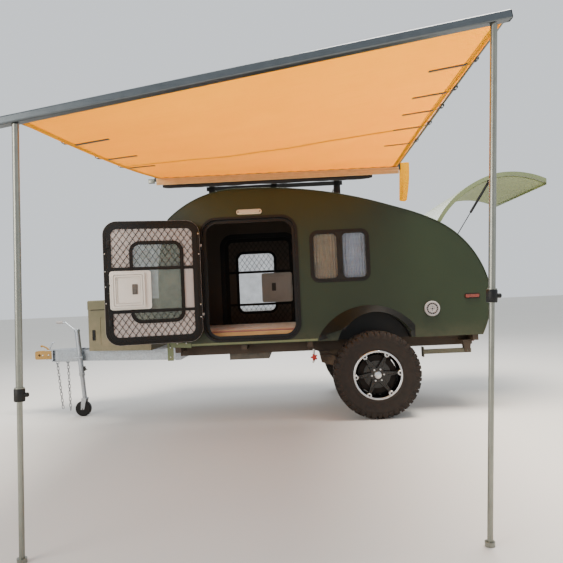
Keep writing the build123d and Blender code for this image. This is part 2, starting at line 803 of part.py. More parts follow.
# Chassis: two long box rails, cross members, and the leg brackets at the rear
cross_size = 50
outriggers = ((-1735, 740), (-1150, 710), (-560, 710), (905, 710))
leg_tube = 40
leg_plate = 90
leg_pin_radius = 8
bracket_plate = 6
bracket_top = sill_height - cross_size
with BuildPart(datum) as chassis_frame:
    for y in (-rail_y, rail_y):
        with Locations((rail_front, y, rail_low)):
            Box(rail_rear - rail_front, rail_width, rail_height,
                align=(Align.MIN, Align.CENTER, Align.MIN))
    for x in cross_member_places:
        with Locations((x, 0, sill_height)):
            Box(cross_size, 2 * rail_y, cross_size, align=(Align.CENTER, Align.CENTER, Align.MAX))
    for x, reach in outriggers:
        with Locations((x, 0, sill_height)):
            Box(cross_size, 2 * reach, cross_size, align=(Align.CENTER, Align.CENTER, Align.MAX))
    for side_sign in (-1, 1):
        with Locations((leg_pivot_x + 5, side_sign * (rail_y + leg_y) / 2, bracket_top)):
            Box(100, leg_y + leg_tube + 4 - rail_y, 10, align=(Align.CENTER, Align.CENTER, Align.MAX))
        for plate_sign in (-1, 1):
            plate_y = side_sign * leg_y + plate_sign * (leg_tube / 2 + 5 + bracket_plate / 2)
            with BuildSketch(Plane(origin=point(0, plate_y, 0), x_dir=(1, 0, 0), z_dir=(0, -1, 0))):
                with BuildLine():
                    Polyline((leg_pivot_x - 40, bracket_top), (leg_pivot_x + 40, bracket_top),
                             (leg_pivot_x + 20, leg_pivot_height - 18),
                             (leg_pivot_x - 20, leg_pivot_height - 18), close=True)
                make_face()
                with Locations((leg_pivot_x, leg_pivot_height)):
                    Circle(leg_pin_radius + bearing_gap, mode=Mode.SUBTRACT)
            extrude(amount=bracket_plate / 2, both=True)
save(chassis_frame.part, "chassis_frame")

# Drawbar: two rails that meet at the coupling, a cross beam, and the coupling's yoke
block_middle = coupling_to_axle + block_front - block_length / 2
yoke_rear = -(block_middle - block_length / 2)
hook_y = 45
hook_x = (-3100, -3028)
hook_radius = 10
hook_drop = 22
hook_rim = 7
cross_beam = (-2300, 540)
yoke_plate = 8
yoke_length = 72
lever_x = yoke_rear - 30
lever_radius = 6
lever_rise = 34
lever_length = 62
lever_grip = 34
with BuildPart() as drawbar:
    with BuildSketch(level(drawbar_low)):
        for sign in (-1, 1):
            with BuildLine():
                Polyline((rail_front - face_gap, sign * (drawbar_rear_y - drawbar_width / 2)),
                         (rail_front - face_gap, sign * (drawbar_rear_y + drawbar_width / 2)),
                         (drawbar_front, sign * (drawbar_front_y + drawbar_width / 2)),
                         (drawbar_front, sign * (drawbar_front_y - drawbar_width / 2)), close=True)
            make_face()
        with Locations((rail_front - face_gap - drawbar_width / 2, 0)):
            Rectangle(drawbar_width, 2 * rail_y + rail_width)
        with Locations((cross_beam[0], 0)):
            Rectangle(drawbar_width, cross_beam[1])
    extrude(amount=drawbar_height)
    for height in (drawbar_low, drawbar_low + drawbar_height):
        with BuildSketch(level(height)):
            with BuildLine():
                Polyline((yoke_rear, -38), (yoke_rear, 38), (drawbar_front - 20, 80),
                         (drawbar_front + 210, 125), (drawbar_front + 210, -125),
                         (drawbar_front - 20, -80), close=True)
            make_face()
        extrude(amount=8 if height > drawbar_low else -8)
    with BuildSketch(side(5)):
        with BuildLine():
            Polyline((yoke_rear, drawbar_low), (yoke_rear, drawbar_low + drawbar_height),
                     (drawbar_front + 20, drawbar_low + drawbar_height),
                     (drawbar_front + 20, drawbar_low), close=True)
        make_face()
    extrude(amount=10)
    yoke_top = coupling_height + block_height / 2
    with BuildSketch(level(drawbar_low - 8)):
        with Locations((yoke_rear + 5.3, 0)):
            Rectangle(10, block_width)
    extrude(amount=drawbar_height + 16)
    for base, amount in ((yoke_top + face_gap, 8), (yoke_top - block_height - face_gap, -8)):
        with BuildSketch(level(base)):
            with Locations((yoke_rear - 25, 0)):
                Rectangle(72, block_width)
        extrude(amount=amount)
    for x, y in zip(hook_x, (-hook_y, hook_y)):
        with BuildSketch(side(y + 4)):
            with Locations((x, drawbar_low - hook_drop)):
                Circle(hook_radius + 7)
            with Locations((x, drawbar_low - 4)):
                Rectangle(2 * hook_radius + 14, 2 * hook_drop - 8)
            with Locations((x, drawbar_low - hook_drop)):
                Circle(hook_radius, mode=Mode.SUBTRACT)
        extrude(amount=8)
    with BuildSketch(level(yoke_top)):
        with Locations((lever_x, 0)):
            Circle(lever_radius)
    extrude(amount=lever_rise)
    lever_foot = point(lever_x, 0, yoke_top + lever_rise - 6)
    lever = along(lever_foot, lever_foot + Vector(25, 0, 45))
    with BuildSketch(lever):
        Circle(lever_radius)
    extrude(amount=lever_length)
    lever_end = lever.origin + lever.z_dir * (lever_length - 4)
    with BuildSketch(Plane(origin=lever_end, z_dir=(0, 1, 0))):
        Circle(lever_radius - 0.5)
    extrude(amount=lever_grip, both=True)
save(drawbar.part, "drawbar")

# Coupling: a moulded block with the cross bore for the tow hitch's pin
with BuildPart() as coupling_block:
    with BuildSketch(side(block_width / 2)):
        with Locations((-block_middle, coupling_height)):
            RectangleRounded(block_length, block_height, 16)
        with Locations((-coupling_to_axle, coupling_height)):
            Circle(coupling_bore_radius, mode=Mode.SUBTRACT)
    extrude(amount=block_width)
save(coupling_block.part, "coupling_block")

# Safety chains, hanging from the two hooks
link_length = 46
link_width = 27
link_wire = 7
hook_gap = 0.4
link_bite = 0.5
link_shoulder = 14
chains = {"near": (hook_x[0], -hook_y, 14, 5.5), "off": (hook_x[1], hook_y, 15, 1.5)}
link_pitch = link_length - 2 * link_wire + link_bite
with BuildPart() as safety_chains:
    for hang_x, hang_y, links, lean in chains.values():
        lean_x = sin(radians(lean))
        lean_z = cos(radians(lean))
        first = drawbar_low - hook_drop - hook_radius + 2.6 + hook_gap - (link_length / 2 - link_wire)
        for link in range(links):
            middle = point(hang_x + lean_x * link * link_pitch, hang_y, first - lean_z * link * link_pitch)
            flat = (0, 1, 0) if link % 2 else (lean_z, 0, lean_x)
            link_plane = Plane(origin=middle, x_dir=(lean_x, 0, -lean_z), z_dir=flat)
            with BuildSketch(link_plane):
                Polygon((-link_length / 2, 0), (-link_shoulder, -link_width / 2),
                        (link_shoulder, -link_width / 2), (link_length / 2, 0),
                        (link_shoulder, link_width / 2), (-link_shoulder, link_width / 2), align=None)
                Rectangle(link_length - 2 * link_wire, link_width - 2 * link_wire, mode=Mode.SUBTRACT)
            extrude(amount=link_wire / 2, both=True)
save(safety_chains.part, "safety_chains")

# Jockey wheel: outer tube clamped to the drawbar, sliding leg, swivelling fork and wheel
jockey_start = point(jockey_top[0], jockey_y, jockey_top[1])
jockey_foot = point(jockey_low[0], jockey_y, jockey_low[1])
jockey_line = along(jockey_start, jockey_foot)
jockey_run = (jockey_foot - jockey_start).length
leg_bearing = 0.08
clamp_place = 245
clamp_depth = 46
clamp_front = -2850
clamp_rear = -2775


def drawbar_face(x):
    """Where the near drawbar rail's outer face stands, less the gap to what is clamped on it."""
    run = (rail_front - x) / (rail_front - drawbar_front)
    return -(drawbar_rear_y - (drawbar_rear_y - drawbar_front_y) * run + drawbar_width / 2 + face_gap)


fork_top = jockey_run - 24
axle_height = ground + jockey_wheel_radius
with BuildPart() as jockey_tube:
    with BuildSketch(jockey_line):
        Circle(jockey_tube_radius)
    extrude(amount=jockey_tube_length)
    with BuildSketch(jockey_line.offset(8)):
        Circle(jockey_leg_radius + leg_bearing)
    extrude(amount=jockey_tube_length, mode=Mode.SUBTRACT)
    with BuildSketch(jockey_line.offset(clamp_place)):
        Circle(jockey_tube_radius + 8)
        Circle(jockey_tube_radius - 1, mode=Mode.SUBTRACT)
    extrude(amount=clamp_depth)
    with BuildSketch(level(drawbar_low + 20)):
        with BuildLine():
            Polyline((clamp_front, jockey_y + jockey_tube_radius - 2),
                     (clamp_rear, jockey_y + jockey_tube_radius - 2),
                     (clamp_rear, drawbar_face(clamp_rear)), (clamp_front, drawbar_face(clamp_front)),
                     close=True)
        make_face()
    extrude(amount=clamp_depth)
    crank_top = along(jockey_start + Vector(8, 0, -25), jockey_start + Vector(-115, 0, 78))
    with BuildSketch(crank_top):
        Circle(7)
    extrude(amount=165)
    grip_start = crank_top.origin + crank_top.z_dir * 160
    with BuildSketch(along(grip_start, grip_start + Vector(-1, 0, 0.02))):
        Circle(9)
    extrude(amount=85)
with BuildPart() as jockey_leg:
    leg_top = 238
    with BuildSketch(jockey_line.offset(leg_top)):
        Circle(jockey_leg_radius)
    extrude(amount=fork_top - leg_top)
    with BuildSketch(jockey_line.offset(fork_top - 1)):
        Circle(9)
    extrude(amount=23)
fork_plane = jockey_line.offset(fork_top + face_gap)
jockey_axle_x = jockey_low[0] - jockey_trail + 8
fork_half = jockey_wheel_width / 2 + 5
with BuildPart() as jockey_fork:
    with BuildSketch(fork_plane):
        Circle(26)
        Circle(9 + bearing_gap, mode=Mode.SUBTRACT)
    extrude(amount=14)
    for sign in (-1, 1):
        near_face = jockey_y + sign * fork_half + (5 if sign > 0 else 0)
        with BuildSketch(side(near_face)):
            with BuildLine():
                Polyline((jockey_low[0] - 26, jockey_low[1] + 24), (jockey_low[0] + 24, jockey_low[1] + 22),
                         (jockey_axle_x + 16, axle_height - 8),
                         (jockey_axle_x - 16, axle_height - 8), close=True)
            make_face()
            with Locations((jockey_axle_x, axle_height)):
                Circle(jockey_axle_radius + bearing_gap, mode=Mode.SUBTRACT)
        extrude(amount=5)
    with BuildSketch(fork_plane):
        Rectangle(44, 2 * fork_half + 10)
        Circle(9 + bearing_gap, mode=Mode.SUBTRACT)
    extrude(amount=8)
jockey_half = jockey_wheel_width / 2
jockey_facets = 24
# The small wheel from side to side: place across, radius
jockey_rings = ((-jockey_half, jockey_wheel_radius - 26), (-jockey_half, jockey_wheel_radius - 10),
                (-jockey_half + 9, jockey_wheel_radius), (jockey_half - 9, jockey_wheel_radius),
                (jockey_half, jockey_wheel_radius - 10), (jockey_half, jockey_wheel_radius - 26))
with BuildPart() as jockey_wheel:
    jockey_middle = Plane(origin=point(jockey_axle_x, jockey_y, axle_height), x_dir=(1, 0, 0),
                          z_dir=(0, -1, 0))
    for across_wheel, radius in jockey_rings:
        with BuildSketch(jockey_middle.offset(across_wheel)):
            RegularPolygon(radius, jockey_facets, rotation=180 / jockey_facets)
    loft(ruled=True)
    with BuildSketch(jockey_middle.offset(-jockey_half - jockey_hub_reach)):
        RegularPolygon(jockey_hub_radius, jockey_facets // 2)
    extrude(amount=2 * (jockey_half + jockey_hub_reach))
    with BuildSketch(jockey_middle.offset(-jockey_half - jockey_axle_reach)):
        Circle(jockey_axle_radius)
    extrude(amount=2 * (jockey_half + jockey_axle_reach))
for label, piece in {"jockey_tube": jockey_tube, "jockey_leg": jockey_leg, "jockey_fork": jockey_fork,
                     "jockey_wheel": jockey_wheel}.items():
    save(piece.part, label)

# Suspension: trailing arms with their stub axles, coil springs and dampers
spring_place = -150
spring_core_radius = spring_radius - 12
spring_low = 440
seat_top = sill_height - 1
seat_low = sill_height - 50
arm_end = 40
pivot_half = 30
hanger_half = 50
hanger_inset = 40
damper_place = -50
damper_low = 450
damper_radius = 21
damper_rod_radius = 8
damper_length = 105
rail_face = rail_y + rail_width / 2
with BuildPart() as suspension:
    with BuildSketch(side(-arm_y + arm_width / 2)):
        with BuildLine():
            Polyline((arm_pivot_x - pivot_half, arm_pivot_height + 35),
                     (arm_pivot_x + arm_end, arm_pivot_height + 35),
                     (arm_end, wheel_centre_height + 45), (arm_end, wheel_centre_height - 35),
                     (-arm_end, wheel_centre_height - 35),
                     (arm_pivot_x - pivot_half, arm_pivot_height - 35), close=True)
        make_face()
    extrude(amount=arm_width)
    with BuildSketch(side(-arm_y - arm_width / 2 + 1)):
        with Locations((0, wheel_centre_height)):
            Circle(stub_radius)
    extrude(amount=wheel_centre_y + rim_width / 2 - 70 - arm_y - arm_width / 2)
    with BuildSketch(side(-rail_face + hanger_inset)):
        with BuildLine():
            Polyline((arm_pivot_x - hanger_half, rail_low), (arm_pivot_x + hanger_half, rail_low),
                     (arm_pivot_x + pivot_half, arm_pivot_height - pivot_half),
                     (arm_pivot_x - pivot_half, arm_pivot_height - pivot_half), close=True)
        make_face()
    extrude(amount=hanger_inset + arm_y - arm_width / 2 - rail_face + 2)
    with BuildSketch(level(spring_low)):
        with Locations((spring_place, -arm_y)):
            Circle(spring_core_radius)
    extrude(amount=seat_low - spring_low)
    with BuildSketch(level(damper_low - 35)):
        with Locations((damper_place, -arm_y)):
            Circle(damper_radius)
    extrude(amount=damper_length + 35)
    with BuildSketch(level(damper_low)):
        with Locations((damper_place, -arm_y)):
            Circle(damper_rod_radius)
    extrude(amount=seat_low - damper_low)
    with BuildSketch(level(seat_low)):
        with Locations(((spring_place + damper_place) / 2, -(rail_face + face_gap))):
            Rectangle(220, arm_y + spring_radius - rail_face + 8, align=(Align.CENTER, Align.MAX))
    extrude(amount=seat_top - seat_low)
    mirror(about=Plane.XZ)
save(suspension.part, "suspension")

# Water tank under the floor, and the drop-down legs with their brackets
tank_place = (-1310, -940)
tank_depth = 110
with BuildPart(datum) as water_tank:
    with Locations(((tank_place[0] + tank_place[1]) / 2, 0, sill_height)):
        Box(tank_place[1] - tank_place[0], 2 * (rail_y - rail_width / 2 - face_gap), tank_depth + cross_size,
            align=(Align.CENTER, Align.CENTER, Align.MAX))
    with Locations((cross_member_places[1], 0, sill_height)):
        Box(cross_size + 1, 2 * rail_y, cross_size, align=(Align.CENTER, Align.CENTER, Align.MAX),
            mode=Mode.SUBTRACT)
save(water_tank.part, "water_tank")

with BuildPart() as stabiliser_leg:
    with BuildSketch(side(-leg_y + leg_tube / 2)):
        with Locations((leg_pivot_x - leg_length / 2 + 18, leg_pivot_height)):
            RectangleRounded(leg_length + 36, leg_tube, 6)
    extrude(amount=leg_tube)
    with BuildSketch(side(-leg_y + leg_tube / 2 + 14)):
        with Locations((leg_pivot_x, leg_pivot_height)):
            Circle(leg_pin_radius)
    extrude(amount=leg_tube + 28)
    with BuildSketch(across(leg_pivot_x - leg_length - 8)):
        with Locations((-leg_y, leg_pivot_height)):
            RectangleRounded(leg_plate, leg_plate, 10)
    extrude(amount=8)
save(stabiliser_leg.part, "stabiliser_leg_left")
save(mirrored(stabiliser_leg.part), "stabiliser_leg_right")

# Front box on the drawbar, and its lid hinged at the rear
box_round = 30


def box_plan(inset):
    """The box's tapered plan, drawn in by an inset."""
    with BuildSketch(Plane.XY) as plan:
        with BuildLine():
            Polyline((box_front + inset, -box_front_half + inset), (box_rear - inset, -box_rear_half + inset),
                     (box_rear - inset, box_rear_half - inset), (box_front + inset, box_front_half - inset),
                     close=True)
        make_face()
    return plan.sketch


box_seal = 0.3
lid_pin_radius = 3
lid_knuckle_radius = 8
lid_knuckle_length = 40
lid_hinge_behind = 16
lid_hinge_tab = 6
lid_hinge_places = (-280, 280)
lid_pin_x = box_rear + lid_hinge_behind


def lid_knuckle(y, tab_base):
    """Adds one knuckle of the lid's hinge and the tab that carries it, from the rear face to the pin."""
    with Locations(Plane(origin=point(lid_pin_x, y, box_split), z_dir=(0, 1, 0))):
        Cylinder(lid_knuckle_radius, lid_knuckle_length)
    with Locations(point(box_rear - 2, y, tab_base)):
        Box(lid_hinge_behind + 2, lid_knuckle_length, lid_hinge_tab,
            align=(Align.MIN, Align.CENTER, Align.MIN))


with BuildPart() as front_box:
    with BuildSketch(level(box_low)):
        add(box_plan(0))
    extrude(amount=box_split - box_seal - box_low)
    fillet(front_box.edges().filter_by(Axis.Z).sort_by(Axis.X)[:2], box_round)
    with BuildSketch(level(box_low + box_wall)):
        add(box_plan(box_wall + 2))
    extrude(amount=box_high, mode=Mode.SUBTRACT)
    for y in lid_hinge_places:
        lid_knuckle(y, box_split - lid_knuckle_radius)
        with Locations(Plane(origin=point(lid_pin_x, y, box_split), z_dir=(0, 1, 0))):
            Cylinder(lid_pin_radius + bearing_gap, lid_knuckle_length, mode=Mode.SUBTRACT)
save(front_box.part, "front_box")
with BuildPart() as front_box_lid:
    with BuildSketch(level(box_split)):
        add(box_plan(-4))
    extrude(amount=box_high - box_split)
    fillet(front_box_lid.edges().filter_by(Axis.Z).sort_by(Axis.X)[:2], box_round)
    fillet(front_box_lid.faces().sort_by(Axis.Z)[-1].edges(), 14)
    with BuildSketch(level(box_split - 1)):
        add(box_plan(box_wall))
    extrude(amount=box_high - box_split - box_wall + 1, mode=Mode.SUBTRACT)
    for y in lid_hinge_places:
        lid_knuckle(y - lid_knuckle_length - moving_gap / 2,
                    box_split + lid_knuckle_radius - lid_hinge_tab)
        with Locations(Plane(origin=point(lid_pin_x, y - lid_knuckle_length / 2, box_split),
                             z_dir=(0, 1, 0))):
            Cylinder(lid_pin_radius, 2 * lid_knuckle_length)
save(front_box_lid.part, "front_box_lid")

# Roof rack: two long rails on feet that follow the roof, and round cross bars
rack_foot = (60, 40)
rack_foot_drop = 130
with BuildPart() as roof_rack:
    for y in (-rack_half_width, rack_half_width):
        with Locations(point(rack_front, y, rack_low)):
            Box(rack_rear - rack_front, rack_rail_width, rack_rail_height,
                align=(Align.MIN, Align.CENTER, Align.MIN))
        for x in rack_bars:
            with Locations(point(x, y, rack_low - rack_foot_drop)):
                Box(*rack_foot, rack_foot_drop + 1, align=(Align.CENTER, Align.CENTER, Align.MIN))
    for x in rack_bars:
        with Locations(Plane(origin=point(x, 0, rack_low + rack_rail_height / 2), z_dir=(0, 1, 0))):
            Cylinder(rack_bar_radius, 2 * rack_half_width)
    add(body_slab(-face_gap, -body_half_width, body_half_width), mode=Mode.SUBTRACT)
save(roof_rack.part, "roof_rack")

# Lamps, the wall vent, and the trim along the roof's edge
lamp_place = (-1051, 1862)
lamp_size = (215, 36)
with BuildPart() as strip_lamp:
    with BuildSketch(side(-body_half_width)):
        with Locations(lamp_place):
            RectangleRounded(*lamp_size, 16)
    extrude(amount=24, taper=12)
save(strip_lamp.part, "strip_lamp")

marker_place = (884, 1028)
marker_size = (122, 32)
with BuildPart() as marker_lamps:
    with BuildSketch(side(-body_half_width)):
        with Locations(marker_place):
            RectangleRounded(*marker_size, 8)
    extrude(amount=16, taper=10)
    mirror(about=Plane.XZ)
save(marker_lamps.part, "marker_lamps")

tail_lamp_size = (180, 70)
with BuildPart() as tail_lamps:
    with BuildSketch(across(rail_rear)):
        for y in (-rail_y + 80, rail_y - 80):
            with Locations((y, sill_height - 45)):
                RectangleRounded(*tail_lamp_size, 12)
    extrude(amount=28, taper=6)
save(tail_lamps.part, "tail_lamps")

vent_place = (526, 931)
vent_radius = 66
with BuildPart() as wall_vent:
    with BuildSketch(side(-body_half_width)):
        with Locations(vent_place):
            Circle(vent_radius)
    extrude(amount=14, taper=14)
    with BuildSketch(side(-body_half_width - 14)):
        with Locations(vent_place):
            Circle(vent_radius - 24)
    extrude(amount=8, taper=20)
save(wall_vent.part, "wall_vent")

# Awning: case on the rack, sloping front rail on two poles, rafters and the canopy
bracket_width = 50
bracket_thickness = 8
bracket_y = awning_back_y + awning_rail_depth / 2
bracket_low = rack_low + rack_rail_height + face_gap
with BuildPart(datum) as awning_case:
    with Locations((awning_front, awning_back_y, awning_back_height)):
        Box(awning_rear - awning_front, awning_rail_depth, awning_rail_height,
            align=(Align.MIN, Align.CENTER, Align.CENTER))
    for x in rack_bars:
        with Locations((x, bracket_y, bracket_low)):
            Box(bracket_width, -rack_half_width - bracket_y + 20, bracket_thickness,
                align=(Align.CENTER, Align.MIN, Align.MIN))
        with Locations((x, bracket_y, (bracket_low + awning_back_height) / 2)):
            Box(bracket_width, bracket_thickness,
                abs(awning_back_height - bracket_low) + 2 * bracket_thickness,
                align=(Align.CENTER, Align.MIN, Align.CENTER))
save(awning_case.part, "awning_case")

bag_height = 62
with BuildPart(datum) as awning_bag:
    with Locations((awning_front + 60, awning_back_y + awning_rail_depth / 2 - 2,
                    awning_back_height - awning_rail_height / 2 - face_gap)):
        Box(awning_rear - awning_front - 300, bag_height, bag_height, align=(Align.MIN, Align.MAX, Align.MAX))
    fillet(awning_bag.edges().filter_by(Axis.X), 22)
save(awning_bag.part, "awning_bag")

rail_y_front = awning_back_y - awning_reach
rail_slope = (front_rail_high_end - front_rail_low_end) / (awning_rear - awning_front)


def rail_height_at(x):
    """Height of the front rail's middle at a place along the trailer."""
    return front_rail_low_end + rail_slope * (x - awning_front)


rail_from = point(awning_front - front_rail_overhang, rail_y_front,
                  rail_height_at(awning_front - front_rail_overhang))
rail_to = point(awning_rear, rail_y_front, rail_height_at(awning_rear))
with BuildPart() as awning_front_rail:
    rail_plane = Plane(origin=rail_from, x_dir=(0, 1, 0), z_dir=(rail_to - rail_from).normalized())
    with BuildSketch(rail_plane):
        RectangleRounded(front_rail_depth, front_rail_height, 8)
    extrude(amount=(rail_to - rail_from).length)
save(awning_front_rail.part, "awning_front_rail")

pole_places = ((-1845, -1878, 698, 3.3), (222, 89, 1032, 4))
with BuildPart() as awning_poles:
    for top_x, foot_x, clamp_height, gap_under_rail in pole_places:
        pole_top = point(top_x, rail_y_front, rail_height_at(top_x) - front_rail_height / 2 - gap_under_rail)
        pole_foot = point(foot_x, rail_y_front, ground)
        pole_line = along(pole_foot, pole_top)
        with BuildSketch(level(ground)):
            with Locations((foot_x, rail_y_front)):
                Circle(pole_foot_radius + 9)
        extrude(amount=20)
        with BuildSketch(pole_line.offset(10)):
            Circle(pole_foot_radius)
        extrude(amount=clamp_height)
        with BuildSketch(pole_line.offset(clamp_height)):
            Circle(pole_radius)
        extrude(amount=(pole_top - pole_foot).length - clamp_height)
        with BuildSketch(pole_line.offset(clamp_height - 20)):
            Circle(pole_radius + 6)
        extrude(amount=60)
save(awning_poles.part, "awning_poles")

with BuildPart() as awning_rafters:
    for x in (awning_front + 12, awning_rear - 12):
        start = point(x, awning_back_y - awning_rail_depth / 2 - face_gap, awning_back_height + 12)
        end = point(x, rail_y_front + front_rail_depth / 2, rail_height_at(x) + 2)
        rafter_line = along(start, end)
        rafter_clear = face_gap + rafter_radius * abs(rafter_line.z_dir.Z)
        with BuildSketch(rafter_line.offset(rafter_clear)):
            Circle(rafter_radius)
        extrude(amount=0.55 * (end - start).length)
        with BuildSketch(rafter_line.offset(rafter_clear)):
            Circle(rafter_radius - 2)
        extrude(amount=(end - start).length - 2 * rafter_clear)
save(awning_rafters.part, "awning_rafters")

canopy_inset = 30
canopy_below_case = 16
canopy_below_rail = 14
with BuildPart() as awning_canopy:
    back_y = awning_back_y - awning_rail_depth / 2 - face_gap
    front_y = rail_y_front + front_rail_depth / 2 + face_gap
    canopy_left = awning_front + canopy_inset
    canopy_right = awning_rear - canopy_inset
    sheet_back = awning_back_height - canopy_below_case
    canopy_edges = ((back_y, sheet_back, sheet_back),
                    (front_y, rail_height_at(canopy_left) - canopy_below_rail,
                     rail_height_at(canopy_right) - canopy_below_rail))
    for y, left_z, right_z in canopy_edges:
        with BuildSketch(side(y)):
            with BuildLine():
                Polyline((canopy_left, left_z), (canopy_right, right_z),
                         (canopy_right, right_z + canopy_thickness),
                         (canopy_left, left_z + canopy_thickness), close=True)
            make_face()
    loft(ruled=True)
save(awning_canopy.part, "awning_canopy")

# Studs of the gas struts, on the side walls and on the hatch's rim
stud_plate = 6
stud_plate_size = (38, 22)
stud_inner = strut_y - eye_width / 2 - 2
with BuildPart() as strut_studs:
    with BuildSketch(side(-inner_half_width + face_gap + stud_plate)):
        with Locations(strut_base):
            RectangleRounded(*stud_plate_size, 6)
    extrude(amount=stud_plate)
    with BuildSketch(side(-strut_y - eye_width / 2 - face_gap)):
        with Locations(strut_base):
            Circle(stud_radius)
    extrude(amount=inner_half_width - strut_y - eye_width / 2 - stud_plate)
    mirror(about=Plane.XZ)
save(strut_studs.part, "strut_studs")
with BuildPart() as hatch_studs:
    with BuildSketch(side(-strut_y - strut_tube_radius - 0.7)):
        with BuildLine():
            Polyline((strut_top_closed[0] - 12, strut_top_closed[1] - 12),
                     (strut_top_closed[0] + 90, strut_top_closed[1] - 25),
                     (strut_top_closed[0] + 90, strut_top_closed[1] + 25),
                     (strut_top_closed[0] - 12, strut_top_closed[1] + 12), close=True)
        make_face()
    extrude(amount=5)
    with BuildSketch(side(-stud_inner)):
        with Locations(strut_top_closed):
            Circle(stud_radius)
    extrude(amount=strut_y + strut_tube_radius - stud_inner + 2)
    mirror(about=Plane.XZ)
    add(body_slab(hatch_thickness - hatch_lining_thickness + face_gap, -body_half_width, body_half_width),
        mode=Mode.INTERSECT)
save(hatch_studs.part.rotate(hatch_hinge, -hatch_opening), "hatch_studs")

# Green plates that tie the body's lower front corners to the chassis
corner_plate_front = nose_low[0] - 30
corner_post_rear = corner_plate_front + 54
corner_plate_end = -1617
corner_plate_low = rail_low - 17
with BuildPart() as corner_plates:
    with BuildSketch(side(-body_half_width - face_gap)):
        with BuildLine():
            Polyline((corner_plate_front, sill_height + 46), (corner_plate_end, sill_height + 30),
                     (corner_plate_end, sill_height - 10), (corner_post_rear, sill_height),
                     (corner_post_rear, corner_plate_low), (corner_plate_front, corner_plate_low), close=True)
        make_face()
    extrude(amount=4)
    mirror(about=Plane.XZ)
save(corner_plates.part, "corner_plates")
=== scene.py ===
"""Teardrop trailer: surfaces, finishes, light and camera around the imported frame."""
import json

import bmesh
import bpy
import numpy as np
from bpy.props import FloatProperty, FloatVectorProperty, IntProperty, PointerProperty
from mathutils import Matrix, Vector
from mathutils.geometry import convex_hull_2d


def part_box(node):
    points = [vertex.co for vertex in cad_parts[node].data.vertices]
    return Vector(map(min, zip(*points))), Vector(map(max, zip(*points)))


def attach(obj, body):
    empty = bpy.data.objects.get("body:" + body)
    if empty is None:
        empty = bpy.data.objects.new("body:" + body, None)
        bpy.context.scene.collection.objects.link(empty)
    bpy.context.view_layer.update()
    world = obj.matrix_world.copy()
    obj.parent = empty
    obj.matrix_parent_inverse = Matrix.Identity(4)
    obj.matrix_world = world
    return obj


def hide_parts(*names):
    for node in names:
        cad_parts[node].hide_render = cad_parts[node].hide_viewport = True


bl_info = {
    "name": "Teardrop Trailer",
    "version": (1, 0, 0),
    "blender": (4, 5, 0),
    "location": "View3D > Sidebar > Trailer",
    "description": "Surfaces, finishes, light and camera of an off-road teardrop trailer",
    "category": "Object",
}

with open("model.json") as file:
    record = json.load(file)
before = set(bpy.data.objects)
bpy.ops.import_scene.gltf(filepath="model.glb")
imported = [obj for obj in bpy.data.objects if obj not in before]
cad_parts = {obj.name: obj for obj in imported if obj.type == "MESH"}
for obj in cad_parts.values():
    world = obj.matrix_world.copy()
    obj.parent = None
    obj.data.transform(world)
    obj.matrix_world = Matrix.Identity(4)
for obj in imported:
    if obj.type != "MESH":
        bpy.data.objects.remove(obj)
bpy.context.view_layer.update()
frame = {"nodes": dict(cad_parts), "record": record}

# The axle's place on the floor. Places below are measured from it: x to the rear, y to the off side, z up.
AXLE = np.array([3.285, 0.0, -0.61])
GROUND = 0.015
HUB_HEIGHT = 0.39
WHEELS = (("left", -0.826), ("right", 0.826))
PI = np.pi

# Directions: along the trailer, up, out of the near side and in from it
X_AXIS = np.array([1.0, 0.0, 0.0])
Z_AXIS = np.array([0.0, 0.0, 1.0])
OUTWARD = (0, -1, 0)
INWARD = (0, 1, 0)


def colour(code):
    """Linear red, green and blue of an sRGB hex code."""
    channel = np.array([int(code[k:k + 2], 16) / 255 for k in (1, 3, 5)])
    linear = np.where(channel <= 0.04045, channel / 12.92, ((channel + 0.055) / 1.055) ** 2.4)
    return tuple(float(c) for c in linear)


def unit(v):
    """Rows of v at length one."""
    v = np.asarray(v, float)
    return v / np.linalg.norm(v, axis=-1, keepdims=True)


# Surfaces. Each returns its vertices and a list of faces.

def grid(points, wrap_u=False, wrap_v=False, caps=False):
    """A net of quads over points[u, v]. A wrapped direction joins its last row to its first, and caps
    close the first and last v-rings by fans to their mean points."""
    count_u, count_v = points.shape[:2]
    index = np.arange(count_u * count_v).reshape(count_u, count_v)
    if wrap_u:
        index = np.vstack([index, index[:1]])
    if wrap_v:
        index = np.hstack([index, index[:, :1]])
    quads = np.stack([index[:-1, :-1], index[1:, :-1], index[1:, 1:], index[:-1, 1:]], -1)
    faces = quads.reshape(-1, 4).tolist()
    vertices = points.reshape(-1, 3)
    if caps:
        for row, turn in ((0, -1), (-1, 1)):
            ring = index[row]
            middle = np.full(len(ring) - 1, len(vertices))
            vertices = np.vstack([vertices, points[row].mean(0)])
            faces += np.stack([ring[:-1], ring[1:], middle], -1)[:, ::turn].tolist()
    return vertices, faces


def together(shapes):
    """A list of shapes as one: the faces of each count on from the vertices before it. A single shape
    comes back as it is."""
    if isinstance(shapes, tuple):
        return shapes
    vertices, faces, start = [], [], 0
    for points, net in shapes:
        vertices.append(points)
        faces += [[k + start for k in face] for face in net]
        start += len(points)
    return np.vstack(vertices), faces


def ring(radius, count):
    """A circle's section: (r cos t, r sin t)."""
    turn = np.linspace(0, 2 * PI, count, endpoint=False)
    return np.stack([radius * np.cos(turn), radius * np.sin(turn)], -1)


def round_rect(width, height, radius, steps):
    """A rectangle with rounded corners: each corner's centre plus r (cos t, sin t) over its quarter."""
    turn = np.linspace(0, PI / 2, steps)
    centres = np.array([[1, 1], [-1, 1], [-1, -1], [1, -1]]) * (np.array([width, height]) / 2 - radius)
    quarter = turn[None] + np.arange(4)[:, None] * PI / 2
    return (centres[:, None] + radius * np.stack([np.cos(quarter), np.sin(quarter)], -1)).reshape(-1, 2)


